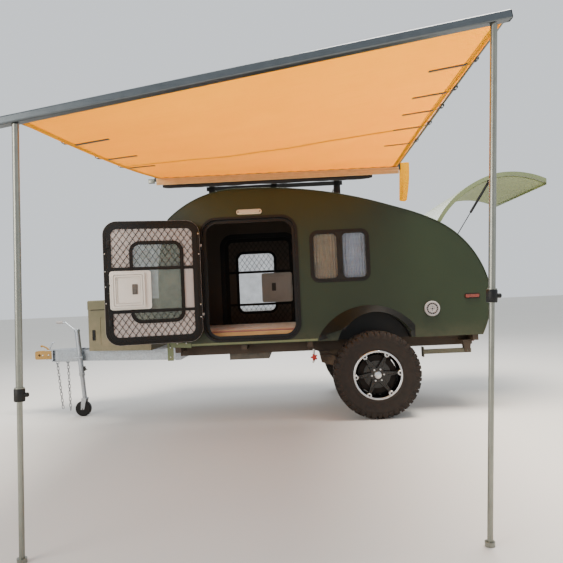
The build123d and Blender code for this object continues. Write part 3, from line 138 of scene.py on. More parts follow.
def sweep(section, path, up=(0, 0, 1), closed=False, scale=None):
    """Carries a section along a path: path + a side + b rise, where side is the unit product of the
    path's direction and up, and rise that of side and the direction. scale sizes the section."""
    path = np.asarray(path, float)
    if closed:
        direction = unit(np.roll(path, -1, 0) - np.roll(path, 1, 0))
    else:
        direction = unit(np.gradient(path, axis=0))
    side = unit(np.cross(direction, np.asarray(up, float)))
    rise = unit(np.cross(side, direction))
    size = np.ones(len(path)) if scale is None else np.asarray(scale, float)
    section = section[None] * size[:, None, None]
    points = path[:, None] + section[..., :1] * side[:, None] + section[..., 1:] * rise[:, None]
    return grid(points, wrap_u=closed, wrap_v=True, caps=not closed)


def rod(start, end, radius, count, radius_end=None):
    """A round bar between two points: both end circles, swept straight."""
    start, end = np.asarray(start, float), np.asarray(end, float)
    up = (0, 0, 1) if abs(unit(end - start)[2]) < 0.9 else (1, 0, 0)
    ratio = 1 if radius_end is None else radius_end / radius
    path = start + (end - start) * np.linspace(0, 1, 2)[:, None]
    return sweep(ring(radius, count), path, up, scale=(1, ratio))


def lathe(profile, centre, axis, count):
    """Turns a profile of (radius, distance along the axis) about the axis:
    centre + distance axis + radius (cos t p + sin t q), with p and q square to the axis. A profile that
    starts on the axis also ends there, and any other is a closed loop."""
    axis = unit(axis)
    first = unit(np.cross(axis, (0, 0, 1) if abs(axis[2]) < 0.9 else (1, 0, 0)))
    second = np.cross(axis, first)
    turn = np.linspace(0, 2 * PI, count, endpoint=False)[:, None, None]
    profile = np.asarray(profile, float)
    spoke = np.cos(turn) * first + np.sin(turn) * second
    points = np.asarray(centre, float) + profile[None, :, 1:] * axis + profile[None, :, :1] * spoke
    return grid(points, wrap_u=True, wrap_v=profile[0, 0] > 0)


def block(centre, size, radius, turned=None):
    """A box with rounded edges: a ball's unit vectors n, at centre + r n + sign(n) (half size - r), with
    four steps round each corner."""
    count = 4
    half = np.asarray(size, float) / 2
    radius = min(radius, half.min() * 0.98)
    quarter = np.linspace(0, PI / 2, count)
    around = (quarter[None] + np.arange(4)[:, None] * PI / 2).reshape(-1)
    corner_x = np.repeat([1, -1, -1, 1], count)
    corner_y = np.repeat([1, 1, -1, -1], count)
    up = np.concatenate([quarter - PI / 2, quarter])
    corner_z = np.repeat([-1, 1], count)
    flat = np.cos(up)[:, None]
    ball = np.stack([flat * np.cos(around), flat * np.sin(around),
                     np.broadcast_to(np.sin(up)[:, None], (len(up), len(around)))], -1)
    corner = np.stack(np.broadcast_arrays(corner_x[None, :], corner_y[None, :], corner_z[:, None]), -1)
    points = ball * radius + corner * (half - radius)
    if turned is not None:
        points = points @ np.asarray(turned, float)
    return grid(points + np.asarray(centre, float), wrap_v=True, caps=True)


def framed(outer, inner, steps, place, normal, height, edge=0.002, along=X_AXIS):
    """A flat ring between two rounded rectangles, each given by its width, height and corner radius,
    raised along its normal with eased edges."""
    outer, inner = round_rect(*outer, steps), round_rect(*inner, steps)
    place = np.asarray(place, float)
    levels = ((outer, 0.0), (outer, height - edge), (outer * (1 - edge) + inner * edge, height),
              (inner * (1 - edge) + outer * edge, height), (inner, height - edge), (inner, 0.0))
    rows = [place + p[:, :1] * np.asarray(along) + p[:, 1:] * Z_AXIS + h * np.asarray(normal)
            for p, h in levels]
    return grid(np.stack(rows), wrap_u=True, wrap_v=True)


def turned_about(points, place, angle):
    """Points turned by an angle in degrees about an upright axis through a place."""
    matrix = np.array(Matrix.Rotation(np.radians(angle), 3, Vector(Z_AXIS)))
    return (np.asarray(points) - place) @ matrix.T + place


def piece(name, shapes, body, material, uv=None, sharp=40):
    """Puts a shape or a list of shapes into the scene at its place, turns its shells outwards, shades it
    smooth but for edges sharper than an angle in degrees, and rides it on a body."""
    vertices, faces = together(shapes)
    mesh = bpy.data.meshes.new(name)
    mesh.from_pydata((np.asarray(vertices) + AXLE).tolist(), [], faces)
    if uv is not None:
        layer = mesh.uv_layers.new(name="UVMap")
        corner = np.zeros(len(mesh.loops), dtype=int)
        mesh.loops.foreach_get("vertex_index", corner)
        layer.data.foreach_set("uv", np.asarray(uv, float)[corner].ravel())
    shell = bmesh.new()
    shell.from_mesh(mesh)
    bmesh.ops.recalc_face_normals(shell, faces=shell.faces)
    shell.to_mesh(mesh)
    shell.free()
    mesh.shade_smooth()
    mesh.set_sharp_from_angle(angle=np.radians(sharp))
    thing = bpy.data.objects.new(name, mesh)
    bpy.context.scene.collection.objects.link(thing)
    mesh.materials.append(bpy.data.materials[material])
    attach(thing, body)
    return thing


def mirrored(shape):
    """A shape's mirror image across the trailer's middle."""
    vertices, faces = shape
    return vertices * (1, -1, 1), [face[::-1] for face in faces]


def both_sides(shapes):
    """A shape or a list of shapes, and the mirror image across the trailer's middle."""
    shape = together(shapes)
    return together([shape, mirrored(shape)])


def heads(places, axis, radius, height, sides=16):
    """Screw or bolt heads at several places: each a short lathe along the axis with an eased rim. Six
    sides make a hexagon."""
    profile = [(0.0, height), (radius * 0.72, height), (radius, height * 0.55), (radius, -0.002),
               (0.0, -0.002)]
    return together([lathe(profile, place, axis, sides) for place in places])


# Finishes. A material is told by what the real one is and by how its surface was made.

def feed(tree, target, **inputs):
    """Sets a node's inputs by their names with _ for a space, or by _ and their number: a node or one
    of its outputs is linked, a hex code is a colour, and anything else is the input's value."""
    for key, value in inputs.items():
        value = colour(value) if isinstance(value, str) else value
        socket = target.inputs[int(key[1:]) if key[0] == "_" else key.replace("_", " ")]
        if isinstance(value, bpy.types.Node):
            tree.links.new(value.outputs[0], socket)
        elif isinstance(value, bpy.types.NodeSocket):
            tree.links.new(value, socket)
        else:
            socket.default_value = (*value, 1.0) if isinstance(value, tuple) and len(value) == 3 \
                and socket.type == "RGBA" else value


def node(tree, kind, settings=None, **inputs):
    """Adds a node with its settings and inputs."""
    made = tree.nodes.new("ShaderNode" + kind)
    for key, value in (settings or {}).items():
        setattr(made, key, value)
    feed(tree, made, **inputs)
    return made


def start(name, **sockets):
    """Begins a material: its tree, its shader, and the place on the object in metres."""
    material = bpy.data.materials.new(name)
    material.use_nodes = True
    tree = material.node_tree
    tree.nodes.clear()
    shader = node(tree, "BsdfPrincipled", **sockets)
    node(tree, "OutputMaterial", Surface=shader)
    return tree, shader, node(tree, "TexCoord").outputs["Object"]


def mottled(tree, base, shade):
    """A base colour times a shade that varies from place to place."""
    return node(tree, "Mix", {"data_type": "RGBA", "blend_type": "MULTIPLY"}, _0=1.0, _6=base,
                _7=node(tree, "CombineColor", _0=shade, _1=shade, _2=shade)).outputs[2]


def dusted(tree, shader, place, base, dust, amount, low, high, roughness):
    """Road dust over a base colour: thick below the height low, gone above high but on faces that look
    up, and broken by a blotch of 90 mm. Where it lies the surface is duller than its own roughness."""
    height = node(tree, "SeparateXYZ", Vector=place).outputs["Z"]
    near_floor = node(tree, "MapRange", {"interpolation_type": "SMOOTHSTEP"}, Value=height,
                      _1=low + AXLE[2], _2=high + AXLE[2], _3=1.0, _4=0.0)
    facing = node(tree, "SeparateXYZ", Vector=node(tree, "NewGeometry").outputs["Normal"]).outputs["Z"]
    on_top = node(tree, "MapRange", Value=facing, _1=0.55, _2=1.0, _3=0.0, _4=0.55)
    film = node(tree, "Math", {"operation": "MAXIMUM"}, _0=near_floor, _1=on_top)
    blotch = node(tree, "TexNoise", Vector=place, Scale=11.0, Detail=7.0, Roughness=0.65)
    spread = node(tree, "MapRange", Value=blotch, _1=0.32, _2=0.72, _3=0.15, _4=1.0)
    share = node(tree, "Math", {"operation": "MULTIPLY"}, _0=film, _1=spread)
    share = node(tree, "Math", {"operation": "MULTIPLY"}, _0=share, _1=amount)
    feed(tree, shader,
         Base_Color=node(tree, "Mix", {"data_type": "RGBA"}, _0=share, _6=base, _7=dust).outputs[2],
         Roughness=node(tree, "MapRange", Value=share, _1=0.0, _2=1.0, _3=roughness, _4=0.9))


ENAMEL_COAT = 0.1


def sprayed_enamel(name, base, dust, roughness=0.38, low=0.66, high=1.25, amount=0.35):
    """Two-pack enamel sprayed on sheet: a satin coat with orange peel of about 4 mm, a slight drift of
    shade from panel to panel, and dust that thins out above the sill."""
    tree, shader, place = start(name, Coat_Weight=ENAMEL_COAT, Coat_Roughness=0.18, IOR=1.5,
                                Specular_IOR_Level=0.32)
    drift = node(tree, "TexNoise", Vector=place, Scale=1.6, Detail=3.0)
    shade = node(tree, "MapRange", Value=drift, _1=0.3, _2=0.7, _3=0.9, _4=1.12)
    tone = mottled(tree, base, shade)
    dusted(tree, shader, place, tone, dust, amount, low, high, roughness)
    peel = node(tree, "TexNoise", Vector=place, Scale=260.0, Detail=1.5)
    feed(tree, shader, Normal=node(tree, "Bump", Strength=0.12, Distance=0.0004, Height=peel))


def lined_panel(name, outside, inside, dust, outward=None):
    """A sandwich panel: sprayed enamel on its outer skin, laminated lining board on its inner one. A face
    is an outer one where its normal points away from the cabin's middle, or along a given direction."""
    sprayed_enamel(name, outside, dust, amount=0.1, high=0.85)
    tree = bpy.data.materials[name].node_tree
    shader = tree.nodes["Principled BSDF"]
    spot = node(tree, "TexCoord")
    away = outward
    if outward is None:
        away = node(tree, "VectorMath", {"operation": "SUBTRACT"}, _0=spot.outputs["Object"],
                    _1=(AXLE[0] - 0.4, 0.0, AXLE[2] + 1.2))
    side = node(tree, "VectorMath", {"operation": "DOT_PRODUCT"}, _0=spot.outputs["Normal"],
                _1=away).outputs["Value"]
    within = node(tree, "Math", {"operation": "LESS_THAN"}, _0=side, _1=0.0)
    weave = node(tree, "TexNoise", Vector=spot.outputs["Object"], Scale=7.0, Detail=5.0)
    board = node(tree, "Mix", {"data_type": "RGBA"}, _0=weave, _6=tuple(c * 0.86 for c in inside),
                 _7=tuple(min(1.0, c * 1.1) for c in inside)).outputs[2]
    painted = shader.inputs["Base Color"].links[0].from_socket
    dull = shader.inputs["Roughness"].links[0].from_socket
    feed(tree, shader, Base_Color=node(tree, "Mix", {"data_type": "RGBA"}, _0=within, _6=painted,
                                       _7=board).outputs[2],
         Roughness=node(tree, "Mix", _0=within, _2=dull, _3=0.6).outputs[0],
         Coat_Weight=node(tree, "MapRange", Value=within, _1=0.0, _2=1.0, _3=ENAMEL_COAT, _4=0.0))


def powder_coat(name, base, roughness, dust, high=0.9):
    """Polyester powder baked on metal: an even satin colour with a fine pebbled grit, a little dust on
    what faces up and what is near the ground."""
    tree, shader, place = start(name, IOR=1.48, Specular_IOR_Level=0.28)
    dusted(tree, shader, place, base, "#8A7660", dust, 0.3, high, roughness)
    pebble = node(tree, "TexNoise", Vector=place, Scale=900.0, Detail=2.0)
    feed(tree, shader, Normal=node(tree, "Bump", Strength=0.25, Distance=0.0004, Height=pebble))


def moulded_plastic(name, base, roughness, grain=1400.0, mottle=0.06, dust=0.15):
    """Moulded ABS or polyethylene: one colour through the wall, a leather-fine spark grain, a faint
    mottle where it cooled unevenly, dust in the grain."""
    tree, shader, place = start(name, IOR=1.53, Specular_IOR_Level=0.28)
    cloud = node(tree, "TexNoise", Vector=place, Scale=9.0, Detail=4.0)
    shade = node(tree, "MapRange", Value=cloud, _1=0.3, _2=0.7, _3=1.0 - mottle, _4=1.0 + mottle)
    tone = mottled(tree, base, shade)
    dusted(tree, shader, place, tone, "#A08E74", dust, 0.3, 1.1, roughness)
    spark = node(tree, "TexVoronoi", Vector=place, Scale=grain)
    feed(tree, shader, Normal=node(tree, "Bump", Strength=0.2, Distance=0.0003, Height=spark))


def galvanised(name, base, roughness=0.42, dust=0.35):
    """Hot-dip zinc: grey crystals 6 to 15 mm across, each a little lighter or duller than the next,
    with a soft wave where the zinc ran, and dust on top."""
    tree, shader, place = start(name, Metallic=0.82)
    warp = node(tree, "TexNoise", Vector=place, Scale=30.0, Detail=2.0)
    bent = node(tree, "Mix", {"data_type": "VECTOR"}, _0=0.03, _4=place,
                _5=warp.outputs["Color"]).outputs[1]
    crystal = node(tree, "TexVoronoi", {"feature": "F1"}, Vector=bent, Scale=110.0)
    cell = node(tree, "SeparateColor", Color=crystal.outputs["Color"]).outputs[0]
    shade = node(tree, "MapRange", Value=cell, _1=0.0, _2=1.0, _3=0.82, _4=1.1)
    tone = mottled(tree, base, shade)
    dusted(tree, shader, place, tone, "#8F7D62", dust, 0.35, 0.8, roughness)
    feed(tree, shader, Normal=node(tree, "Bump", Strength=0.25, Distance=0.0006, Height=warp))


def drawn_aluminium(name, base, roughness=0.3, stretch=(4.0, 900.0, 900.0), metallic=0.9):
    """Extruded and anodised aluminium: a soft grey metal with fine die lines along its length, 1 mm
    apart, and faint handling marks."""
    tree, shader, place = start(name, Metallic=metallic)
    along_it = node(tree, "Mapping", Vector=place, Scale=stretch)
    lines = node(tree, "TexNoise", Vector=along_it, Scale=1.0, Detail=3.0)
    marks = node(tree, "TexNoise", Vector=place, Scale=16.0, Detail=6.0, Roughness=0.7)
    shade = node(tree, "MapRange", Value=marks, _1=0.3, _2=0.75, _3=1.06, _4=0.84)
    tone = mottled(tree, base, shade)
    sheen = node(tree, "MapRange", Value=lines, _1=0.2, _2=0.8, _3=roughness - 0.08, _4=roughness + 0.14)
    feed(tree, shader, Base_Color=tone, Roughness=sheen,
         Normal=node(tree, "Bump", Strength=0.12, Distance=0.0003, Height=lines))


def wheel_enamel(name, base, roughness):
    """Gloss black enamel on a cast wheel: deep and smooth, with brake and road dust settled in its
    corners and thinning outwards."""
    tree, shader, place = start(name, Coat_Weight=0.25, Coat_Roughness=0.1, IOR=1.5,
                                Specular_IOR_Level=0.3)
    grime = node(tree, "TexNoise", Vector=place, Scale=38.0, Detail=8.0, Roughness=0.7)
    corner = node(tree, "AmbientOcclusion", {"samples": 8}, Distance=0.03).outputs["AO"]
    hidden = node(tree, "MapRange", Value=corner, _1=0.35, _2=0.9, _3=0.22, _4=0.0)
    share = node(tree, "Math", {"operation": "MULTIPLY"}, _0=hidden,
                 _1=node(tree, "MapRange", Value=grime, _1=0.35, _2=0.7, _3=0.1, _4=1.0))
    mixed = node(tree, "Mix", {"data_type": "RGBA"}, _0=share, _6=base, _7="#7B6A55").outputs[2]
    feed(tree, shader, Base_Color=mixed,
         Roughness=node(tree, "MapRange", Value=share, _1=0.0, _2=0.8, _3=roughness, _4=0.85))


def machined_alloy(name, base):
    """Alloy faced on a lathe and lacquered: bright, with turning rings 2 mm apart about the hub."""
    tree, shader, place = start(name, Metallic=0.95, Coat_Weight=0.3, Coat_Roughness=0.1)
    split = node(tree, "SeparateXYZ", Vector=place)
    x = node(tree, "Math", {"operation": "SUBTRACT"}, _0=split.outputs["X"], _1=AXLE[0])
    z = node(tree, "Math", {"operation": "SUBTRACT"}, _0=split.outputs["Z"], _1=AXLE[2] + HUB_HEIGHT)
    reach = node(tree, "VectorMath", {"operation": "LENGTH"},
                 _0=node(tree, "CombineXYZ", X=x, Y=0.0, Z=z)).outputs["Value"]
    rings = node(tree, "Math", {"operation": "SINE"},
                 _0=node(tree, "Math", {"operation": "MULTIPLY"}, _0=reach, _1=2 * PI / 0.002))
    grime = node(tree, "TexNoise", Vector=place, Scale=30.0, Detail=6.0)
    shade = node(tree, "Mix", {"data_type": "RGBA"},
                 _0=node(tree, "MapRange", Value=grime, _1=0.5, _2=0.75, _3=0.0, _4=0.4),
                 _6=base, _7="#8A7D6C").outputs[2]
    feed(tree, shader, Base_Color=shade,
         Roughness=node(tree, "MapRange", Value=rings, _1=-1.0, _2=1.0, _3=0.18, _4=0.34),
         Normal=node(tree, "Bump", Strength=0.08, Distance=0.0002, Height=rings))


def moulded_rubber(name, base, dust, amount):
    """Vulcanised rubber: dull charcoal with a fine mould grain, browned by dry dust that lies thickest
    towards the tread and between the blocks."""
    tree, shader, place = start(name, IOR=1.52, Specular_IOR_Level=0.2)
    fine = node(tree, "TexNoise", Vector=place, Scale=420.0, Detail=3.0)
    blotch = node(tree, "TexNoise", Vector=place, Scale=22.0, Detail=8.0, Roughness=0.7)
    corner = node(tree, "AmbientOcclusion", {"samples": 8}, Distance=0.02).outputs["AO"]
    sunk = node(tree, "MapRange", Value=corner, _1=0.4, _2=1.0, _3=1.0, _4=0.35)
    share = node(tree, "Math", {"operation": "MULTIPLY"}, _0=sunk,
                 _1=node(tree, "MapRange", Value=blotch, _1=0.3, _2=0.72, _3=0.2, _4=1.0))
    share = node(tree, "Math", {"operation": "MULTIPLY"}, _0=share, _1=amount)
    mixed = node(tree, "Mix", {"data_type": "RGBA"}, _0=share, _6=base, _7=dust).outputs[2]
    feed(tree, shader, Base_Color=mixed,
         Roughness=node(tree, "MapRange", Value=share, _1=0.0, _2=1.0, _3=0.62, _4=0.95),
         Normal=node(tree, "Bump", Strength=0.3, Distance=0.0006, Height=fine))


def printed_laminate(name, base, grain=0.1):
    """Melamine board: a pale print of wood grain stretched along the trailer under a satin skin."""
    tree, shader, place = start(name, IOR=1.5, Coat_Weight=0.15, Coat_Roughness=0.25)
    long_way = node(tree, "Mapping", Vector=place, Scale=(2.5, 60.0, 60.0))
    figure = node(tree, "TexNoise", Vector=long_way, Scale=1.0, Detail=6.0, Distortion=0.8)
    shade = node(tree, "MapRange", Value=figure, _1=0.3, _2=0.7, _3=1.0 - grain, _4=1.0 + grain * 0.4)
    tone = mottled(tree, base, shade)
    feed(tree, shader, Base_Color=tone, Roughness=0.4,
         Normal=node(tree, "Bump", Strength=0.1, Distance=0.0002, Height=figure))


def cast_acrylic(name, tint, film):
    """Cast acrylic glazing: glossy, mostly seen through, its tint laid over what is behind it, with a
    film of dust in clouds of 80 mm that hides more and shines less where it is thick."""
    tree, shader, place = start(name, IOR=1.9, Base_Color=tint)
    cloud = node(tree, "TexNoise", Vector=place, Scale=12.0, Detail=7.0, Roughness=0.65)
    feed(tree, shader,
         Alpha=node(tree, "MapRange", Value=cloud, _1=0.3, _2=0.75, _3=film * 0.75, _4=film * 1.25),
         Roughness=node(tree, "MapRange", Value=cloud, _1=0.3, _2=0.75, _3=0.05, _4=0.3))


def bands(pitch):
    """The scale of a wave pattern whose bands lie a pitch in metres apart."""
    return 2 * PI / (pitch * 20.0)


def ribbed_lens(name, tint, clear=0.35):
    """Moulded polycarbonate lens: glossy outside, with prism ribs 5 mm apart inside that band the
    colour."""
    tree, shader, place = start(name, IOR=1.58, Coat_Weight=0.8, Coat_Roughness=0.06,
                                Transmission_Weight=clear, Roughness=0.2)
    ribs = node(tree, "TexWave", {"wave_type": "BANDS", "bands_direction": "X"}, Vector=place,
                Scale=bands(0.005))
    tone = node(tree, "Mix", {"data_type": "RGBA"}, _0=ribs.outputs["Fac"], _6=tint,
                _7=tuple(c * 0.72 for c in tint)).outputs[2]
    feed(tree, shader, Base_Color=tone,
         Normal=node(tree, "Bump", Strength=0.35, Distance=0.0008, Height=ribs.outputs["Fac"]))


def woven_cloth(name, base, dark, thread, through=0.0, sheen=0.25, roughness=0.85, shine=0.5):
    """Woven cloth on its UV map in metres: warp and weft threads crossing at a pitch of thread metres,
    drawn coarse enough to show, the hollows painted darker as shade, some threads thicker, with a soft
    sheen. Where light comes through, it scatters under the surface."""
    tree, shader, place = start(name, Sheen_Weight=sheen, Sheen_Roughness=0.5, IOR=1.45,
                                Specular_IOR_Level=shine)
    flat = node(tree, "UVMap").outputs["UV"]
    warp, weft = [node(tree, "TexWave", {"wave_type": "BANDS", "bands_direction": way}, Vector=flat,
                       Scale=bands(thread), Distortion=0.3, Detail=1.0) for way in "XY"]
    cross = node(tree, "Math", {"operation": "MULTIPLY"}, _0=warp.outputs["Fac"],
                 _1=weft.outputs["Fac"])
    slub = node(tree, "TexNoise", Vector=node(tree, "Mapping", Vector=flat, Scale=(3.0, 160.0, 1.0)),
                Scale=1.0, Detail=4.0)
    wash = node(tree, "TexNoise", Vector=place, Scale=2.2, Detail=5.0)
    shade = node(tree, "Math", {"operation": "ADD"},
                 _0=node(tree, "MapRange", Value=slub, _1=0.3, _2=0.7, _3=-0.2, _4=0.2),
                 _1=node(tree, "MapRange", Value=wash, _1=0.3, _2=0.7, _3=0.05, _4=0.55))
    # Where the threads cross low, the hollows are painted darker as shade; slubs and washes are the
    # cloth's own tone
    shade = node(tree, "Math", {"operation": "ADD", "use_clamp": True}, _0=shade,
                 _1=node(tree, "MapRange", Value=cross, _1=0.0, _2=1.0, _3=0.3, _4=-0.1))
    tone = node(tree, "Mix", {"data_type": "RGBA"}, _0=shade, _6=base, _7=dark).outputs[2]
    feed(tree, shader, Base_Color=tone, Roughness=roughness,
         Normal=node(tree, "Bump", Strength=0.3, Distance=0.0006, Height=cross))
    if through:
        feed(tree, shader, Subsurface_Weight=through, Subsurface_Scale=0.02)
        shader.inputs["Subsurface Radius"].default_value = (1.0, 0.55, 0.25)


# Colours that a user may change: each one's label and its sRGB code
SHADES = {
    "olive": ("Body olive", "#222C17"), "light_green": ("Light green enamel", "#6C7655"),
    "box": ("Front box", "#625F47"), "canopy": ("Canopy cloth", "#F28A00"),
    # The cabin lining is painted darker than the near door's lining, as the shade inside the cabin
    "lining": ("Cabin lining", "#4C433B"), "leaf_lining": ("Door lining", "#B0A7A2"),
    "mattress": ("Mattress ticking", "#F0CB8C"),
    # The chassis' dark brown is painted shade: the frame under the body drawn as dark as its shadow
    "panel": ("Door panel", "#DAD4CA"), "chassis": ("Chassis brown", "#40352B"),
}


def make_finishes(shade):
    """Makes every finish of the trailer once."""
    dust = "#9C876B"
    sprayed_enamel("olive_enamel_sprayed", shade["olive"], dust, amount=0.1, high=0.85)
    # Walls, roof and far door: the cabin lining darkened as painted shade. Near door: the lighter lining
    lined_panel("wall_enamel_and_shaded_lining", shade["olive"], shade["lining"], dust)
    lined_panel("leaf_enamel_and_lining", shade["olive"], shade["leaf_lining"], dust,
                outward=(-0.2588, 0.9659, 0.0))
    sprayed_enamel("green_enamel_sprayed", shade["light_green"], dust, roughness=0.4)
    sprayed_enamel("box_enamel_sprayed", shade["box"], dust, low=0.6, high=1.3, amount=0.5)
    powder_coat("black_powder_coat", "#101113", roughness=0.4, dust=0.04)
    powder_coat("screen_powder_coat", "#0A0B0C", roughness=0.6, dust=0.0)
    powder_coat("rack_powder_coat", "#0E0F10", roughness=0.5, dust=0.05)
    powder_coat("bolt_steel_blacked", "#26262A", roughness=0.5, dust=0.1)
    moulded_plastic("grey_abs_moulded", "#5E5A55", roughness=0.45, dust=0.03)
    moulded_plastic("red_nylon_moulded", "#A81A12", roughness=0.4, mottle=0.05)
    drawn_aluminium("steel_screw_zinc", "#C9C6C0", stretch=(300.0, 300.0, 300.0))
    moulded_rubber("brake_iron_cast", "#141211", "#5A4636", amount=0.35)
    galvanised("zinc_chain_plated", "#8C8F92", roughness=0.35, dust=0.2)
    # The chassis frame: dark brown painted as the shade under the body, with real dust over it
    powder_coat("chassis_coat_shaded_brown", shade["chassis"], roughness=0.55, dust=0.25, high=0.8)
    powder_coat("suspension_powder_coat", "#141313", roughness=0.55, dust=0.7, high=0.9)
    moulded_plastic("black_abs_moulded", "#0B0C0D", roughness=0.5, dust=0.03)
    moulded_plastic("cream_abs_moulded", shade["panel"], roughness=0.38, mottle=0.03, dust=0.05)
    moulded_plastic("white_abs_moulded", "#9A9594", roughness=0.42, mottle=0.05)
    moulded_plastic("liner_abs_formed", "#8A9562", roughness=0.5, grain=500.0, mottle=0.05)
    moulded_plastic("grey_polyethylene_moulded", "#3B3C3C", roughness=0.6, mottle=0.1, dust=0.5)
    moulded_plastic("orange_polyurethane_cast", "#96702B", roughness=0.5, mottle=0.12, dust=0.35)
    galvanised("zinc_hot_dipped", "#A2A9B0")
    # The leg's zinc is darker than the drawbar's as painted shade under the trailer; the dust on it is
    # real
    galvanised("zinc_leg_dusted_and_shaded", "#5C5C50", roughness=0.5, dust=0.4)
    drawn_aluminium("aluminium_anodised_rail", "#5E6468")
    drawn_aluminium("aluminium_anodised_pole", "#87887F", stretch=(900.0, 900.0, 4.0))
    drawn_aluminium("aluminium_case_painted", "#D8AC72", roughness=0.45, metallic=0.1)
    wheel_enamel("black_wheel_enamel", "#060607", 0.16)
    machined_alloy("alloy_face_turned", "#C4C6C8")
    moulded_rubber("tyre_rubber_vulcanised", "#171514", "#5E4E41", amount=0.5)
    moulded_rubber("black_rubber_moulded", "#0D0D0E", "#8A7960", amount=0.06)
    printed_laminate("lining_board_laminated", "#7B6D5C")
    sprayed_enamel("sill_enamel_sprayed", "#5F6B49", dust, low=0.6, high=0.9, amount=0.3)
    printed_laminate("cupboard_board_laminated", "#D9D2C5", grain=0.06)
    cast_acrylic("acrylic_clear_cast", "#4B5450", 0.24)
    cast_acrylic("acrylic_filmed_cast", "#6A7263", 0.62)
    ribbed_lens("amber_lens_moulded", colour("#7E2A04"), clear=0.1)
    ribbed_lens("red_lens_moulded", colour("#9E1A16"))
    ribbed_lens("cream_lens_moulded", colour("#E6D9BC"), clear=0.15)
    woven_cloth("canopy_ripstop_woven", shade["canopy"], tuple(c * 0.82 for c in shade["canopy"]),
                0.004, through=0.7, sheen=0.0, roughness=1.0, shine=0.08)
    woven_cloth("bag_polyester_woven", "#1A1A1B", "#0D0D0E", 0.004, sheen=0.2)
    woven_cloth("mattress_ticking_woven", shade["mattress"], "#9A6A3C", 0.006, sheen=0.35)
    woven_cloth("mattress_piping_woven", "#B77F78", "#8A4F4C", 0.004, sheen=0.3)
    woven_cloth("curtain_beige_woven", "#CDAF86", "#9A7F5A", 0.004, through=0.3)
    woven_cloth("curtain_grey_woven", "#D9E1F4", "#9FA8BC", 0.004, through=0.3)
    woven_cloth("webbing_woven", "#141415", "#09090A", 0.003, sheen=0.2)


FINISH_OF_SLOT = {
    "olive_paint": "olive_enamel_sprayed", "light_green_paint": "green_enamel_sprayed",
    "interior_laminate": "lining_board_laminated", "white_laminate": "cupboard_board_laminated",
    "hatch_liner": "liner_abs_formed", "mattress_fabric": "mattress_ticking_woven",
    "black_frame": "black_powder_coat", "black_plastic": "black_abs_moulded",
    "screen_black": "screen_powder_coat", "cream_panel": "cream_abs_moulded",
    "window_glass": "acrylic_clear_cast", "tyre_rubber": "tyre_rubber_vulcanised",
    "wheel_alloy": "black_wheel_enamel", "chassis_brown": "chassis_coat_shaded_brown",
    "galvanised_steel": "zinc_hot_dipped", "coupling_block": "orange_polyurethane_cast",
    "black_rubber": "black_rubber_moulded", "suspension_black": "suspension_powder_coat",
    "tank_plastic": "grey_polyethylene_moulded", "leg_steel": "zinc_leg_dusted_and_shaded",
    "box_paint": "box_enamel_sprayed", "rack_black": "rack_powder_coat",
    "lamp_cream": "cream_lens_moulded", "lamp_amber": "amber_lens_moulded",
    "lamp_red": "red_lens_moulded", "vent_white": "white_abs_moulded",
    "awning_aluminium": "aluminium_anodised_rail", "bag_black": "bag_polyester_woven",
    "canopy_orange": "canopy_ripstop_woven", "pole_aluminium": "aluminium_anodised_pole",
}


# Nodes whose finish isn't their slot's: panels lined on one side, a filmed pane and the corner plates.
# The cabin lining on walls, roof and far door is painted darker as shade; the near door's is not
FINISH_OF_NODE = {
    "side_wall_left": "wall_enamel_and_shaded_lining", "side_wall_right": "wall_enamel_and_shaded_lining",
    "roof_shell": "wall_enamel_and_shaded_lining", "door_leaf_right": "wall_enamel_and_shaded_lining",
    "door_leaf_left": "leaf_enamel_and_lining", "door_glass_left": "acrylic_filmed_cast",
    "corner_plates": "sill_enamel_sprayed",
}


# The awning

# Where the case begins and ends along the trailer, the middles of case and front rail, and the rail's rise
AWNING_FRONT = -1.86
AWNING_REAR = 0.29
CASE_Y = -0.8
CASE_HEIGHT = 2.195
RAIL_Y = -3.535
RAIL_FRONT_HEIGHT = 1.902
RAIL_SLOPE = (2.239 - RAIL_FRONT_HEIGHT) / (AWNING_REAR - AWNING_FRONT)


def rail_height(x):
    """Height of the awning's sloping front rail at a place along the trailer."""
    return RAIL_FRONT_HEIGHT + RAIL_SLOPE * (x - AWNING_FRONT)


def canopy_point(u, v, sag):
    """A place on the canopy, u from its front end to its rear, v from the case to the front rail: the
    straight line between both edges, less sag sin(pi v) that dies away to the rear, less folds that
    fan out of the low corner and puckers along the case, and drawn in at its free ends by 30 mm and
    22 mm of sin(pi v)."""
    inset = 0.03 + 0.022 * np.sin(PI * v)
    x = AWNING_FRONT + inset + u * (AWNING_REAR - AWNING_FRONT - 2 * inset)
    back = np.stack([x, np.full_like(x, CASE_Y - 0.0183), np.full_like(x, CASE_HEIGHT - 0.006)], -1)
    front = np.stack([x, np.full_like(x, RAIL_Y + 0.0263), rail_height(x) - 0.012], -1)
    place = back + (front - back) * v[..., None]
    drop = sag * np.sin(PI * v) ** 0.9 * (1.0 - 0.75 * u) * (1.0 - 0.35 * np.cos(2 * PI * u))
    fan = 0.0035 * np.sin(9 * PI * (u + 0.35 * v)) * np.sin(PI * v) * (1 - u)
    pucker = 0.002 * np.sin(46 * PI * u) * np.exp(-v / 0.05)
    place[..., 2] -= drop + fan * np.sin(PI * u) + pucker
    return place


def cloth_shell(face, offset):
    """A closed sheet of cloth: the net face[u, v] and the same net moved by its thickness, joined round
    the edges by wrapping both into one band with its two open ends capped."""
    band = np.concatenate([face, (face + offset)[:, ::-1]], axis=1)
    vertices, faces = grid(band, wrap_v=True)
    count_u, count_v = band.shape[:2]
    half = count_v // 2
    index = np.arange(count_u * count_v).reshape(count_u, count_v)
    for row, turn in ((0, -1), (-1, 1)):
        a, b = index[row, :half], index[row, half:][::-1]
        faces += np.stack([a[:-1], a[1:], b[1:], b[:-1]], -1)[:, ::turn].tolist()
    return vertices, faces


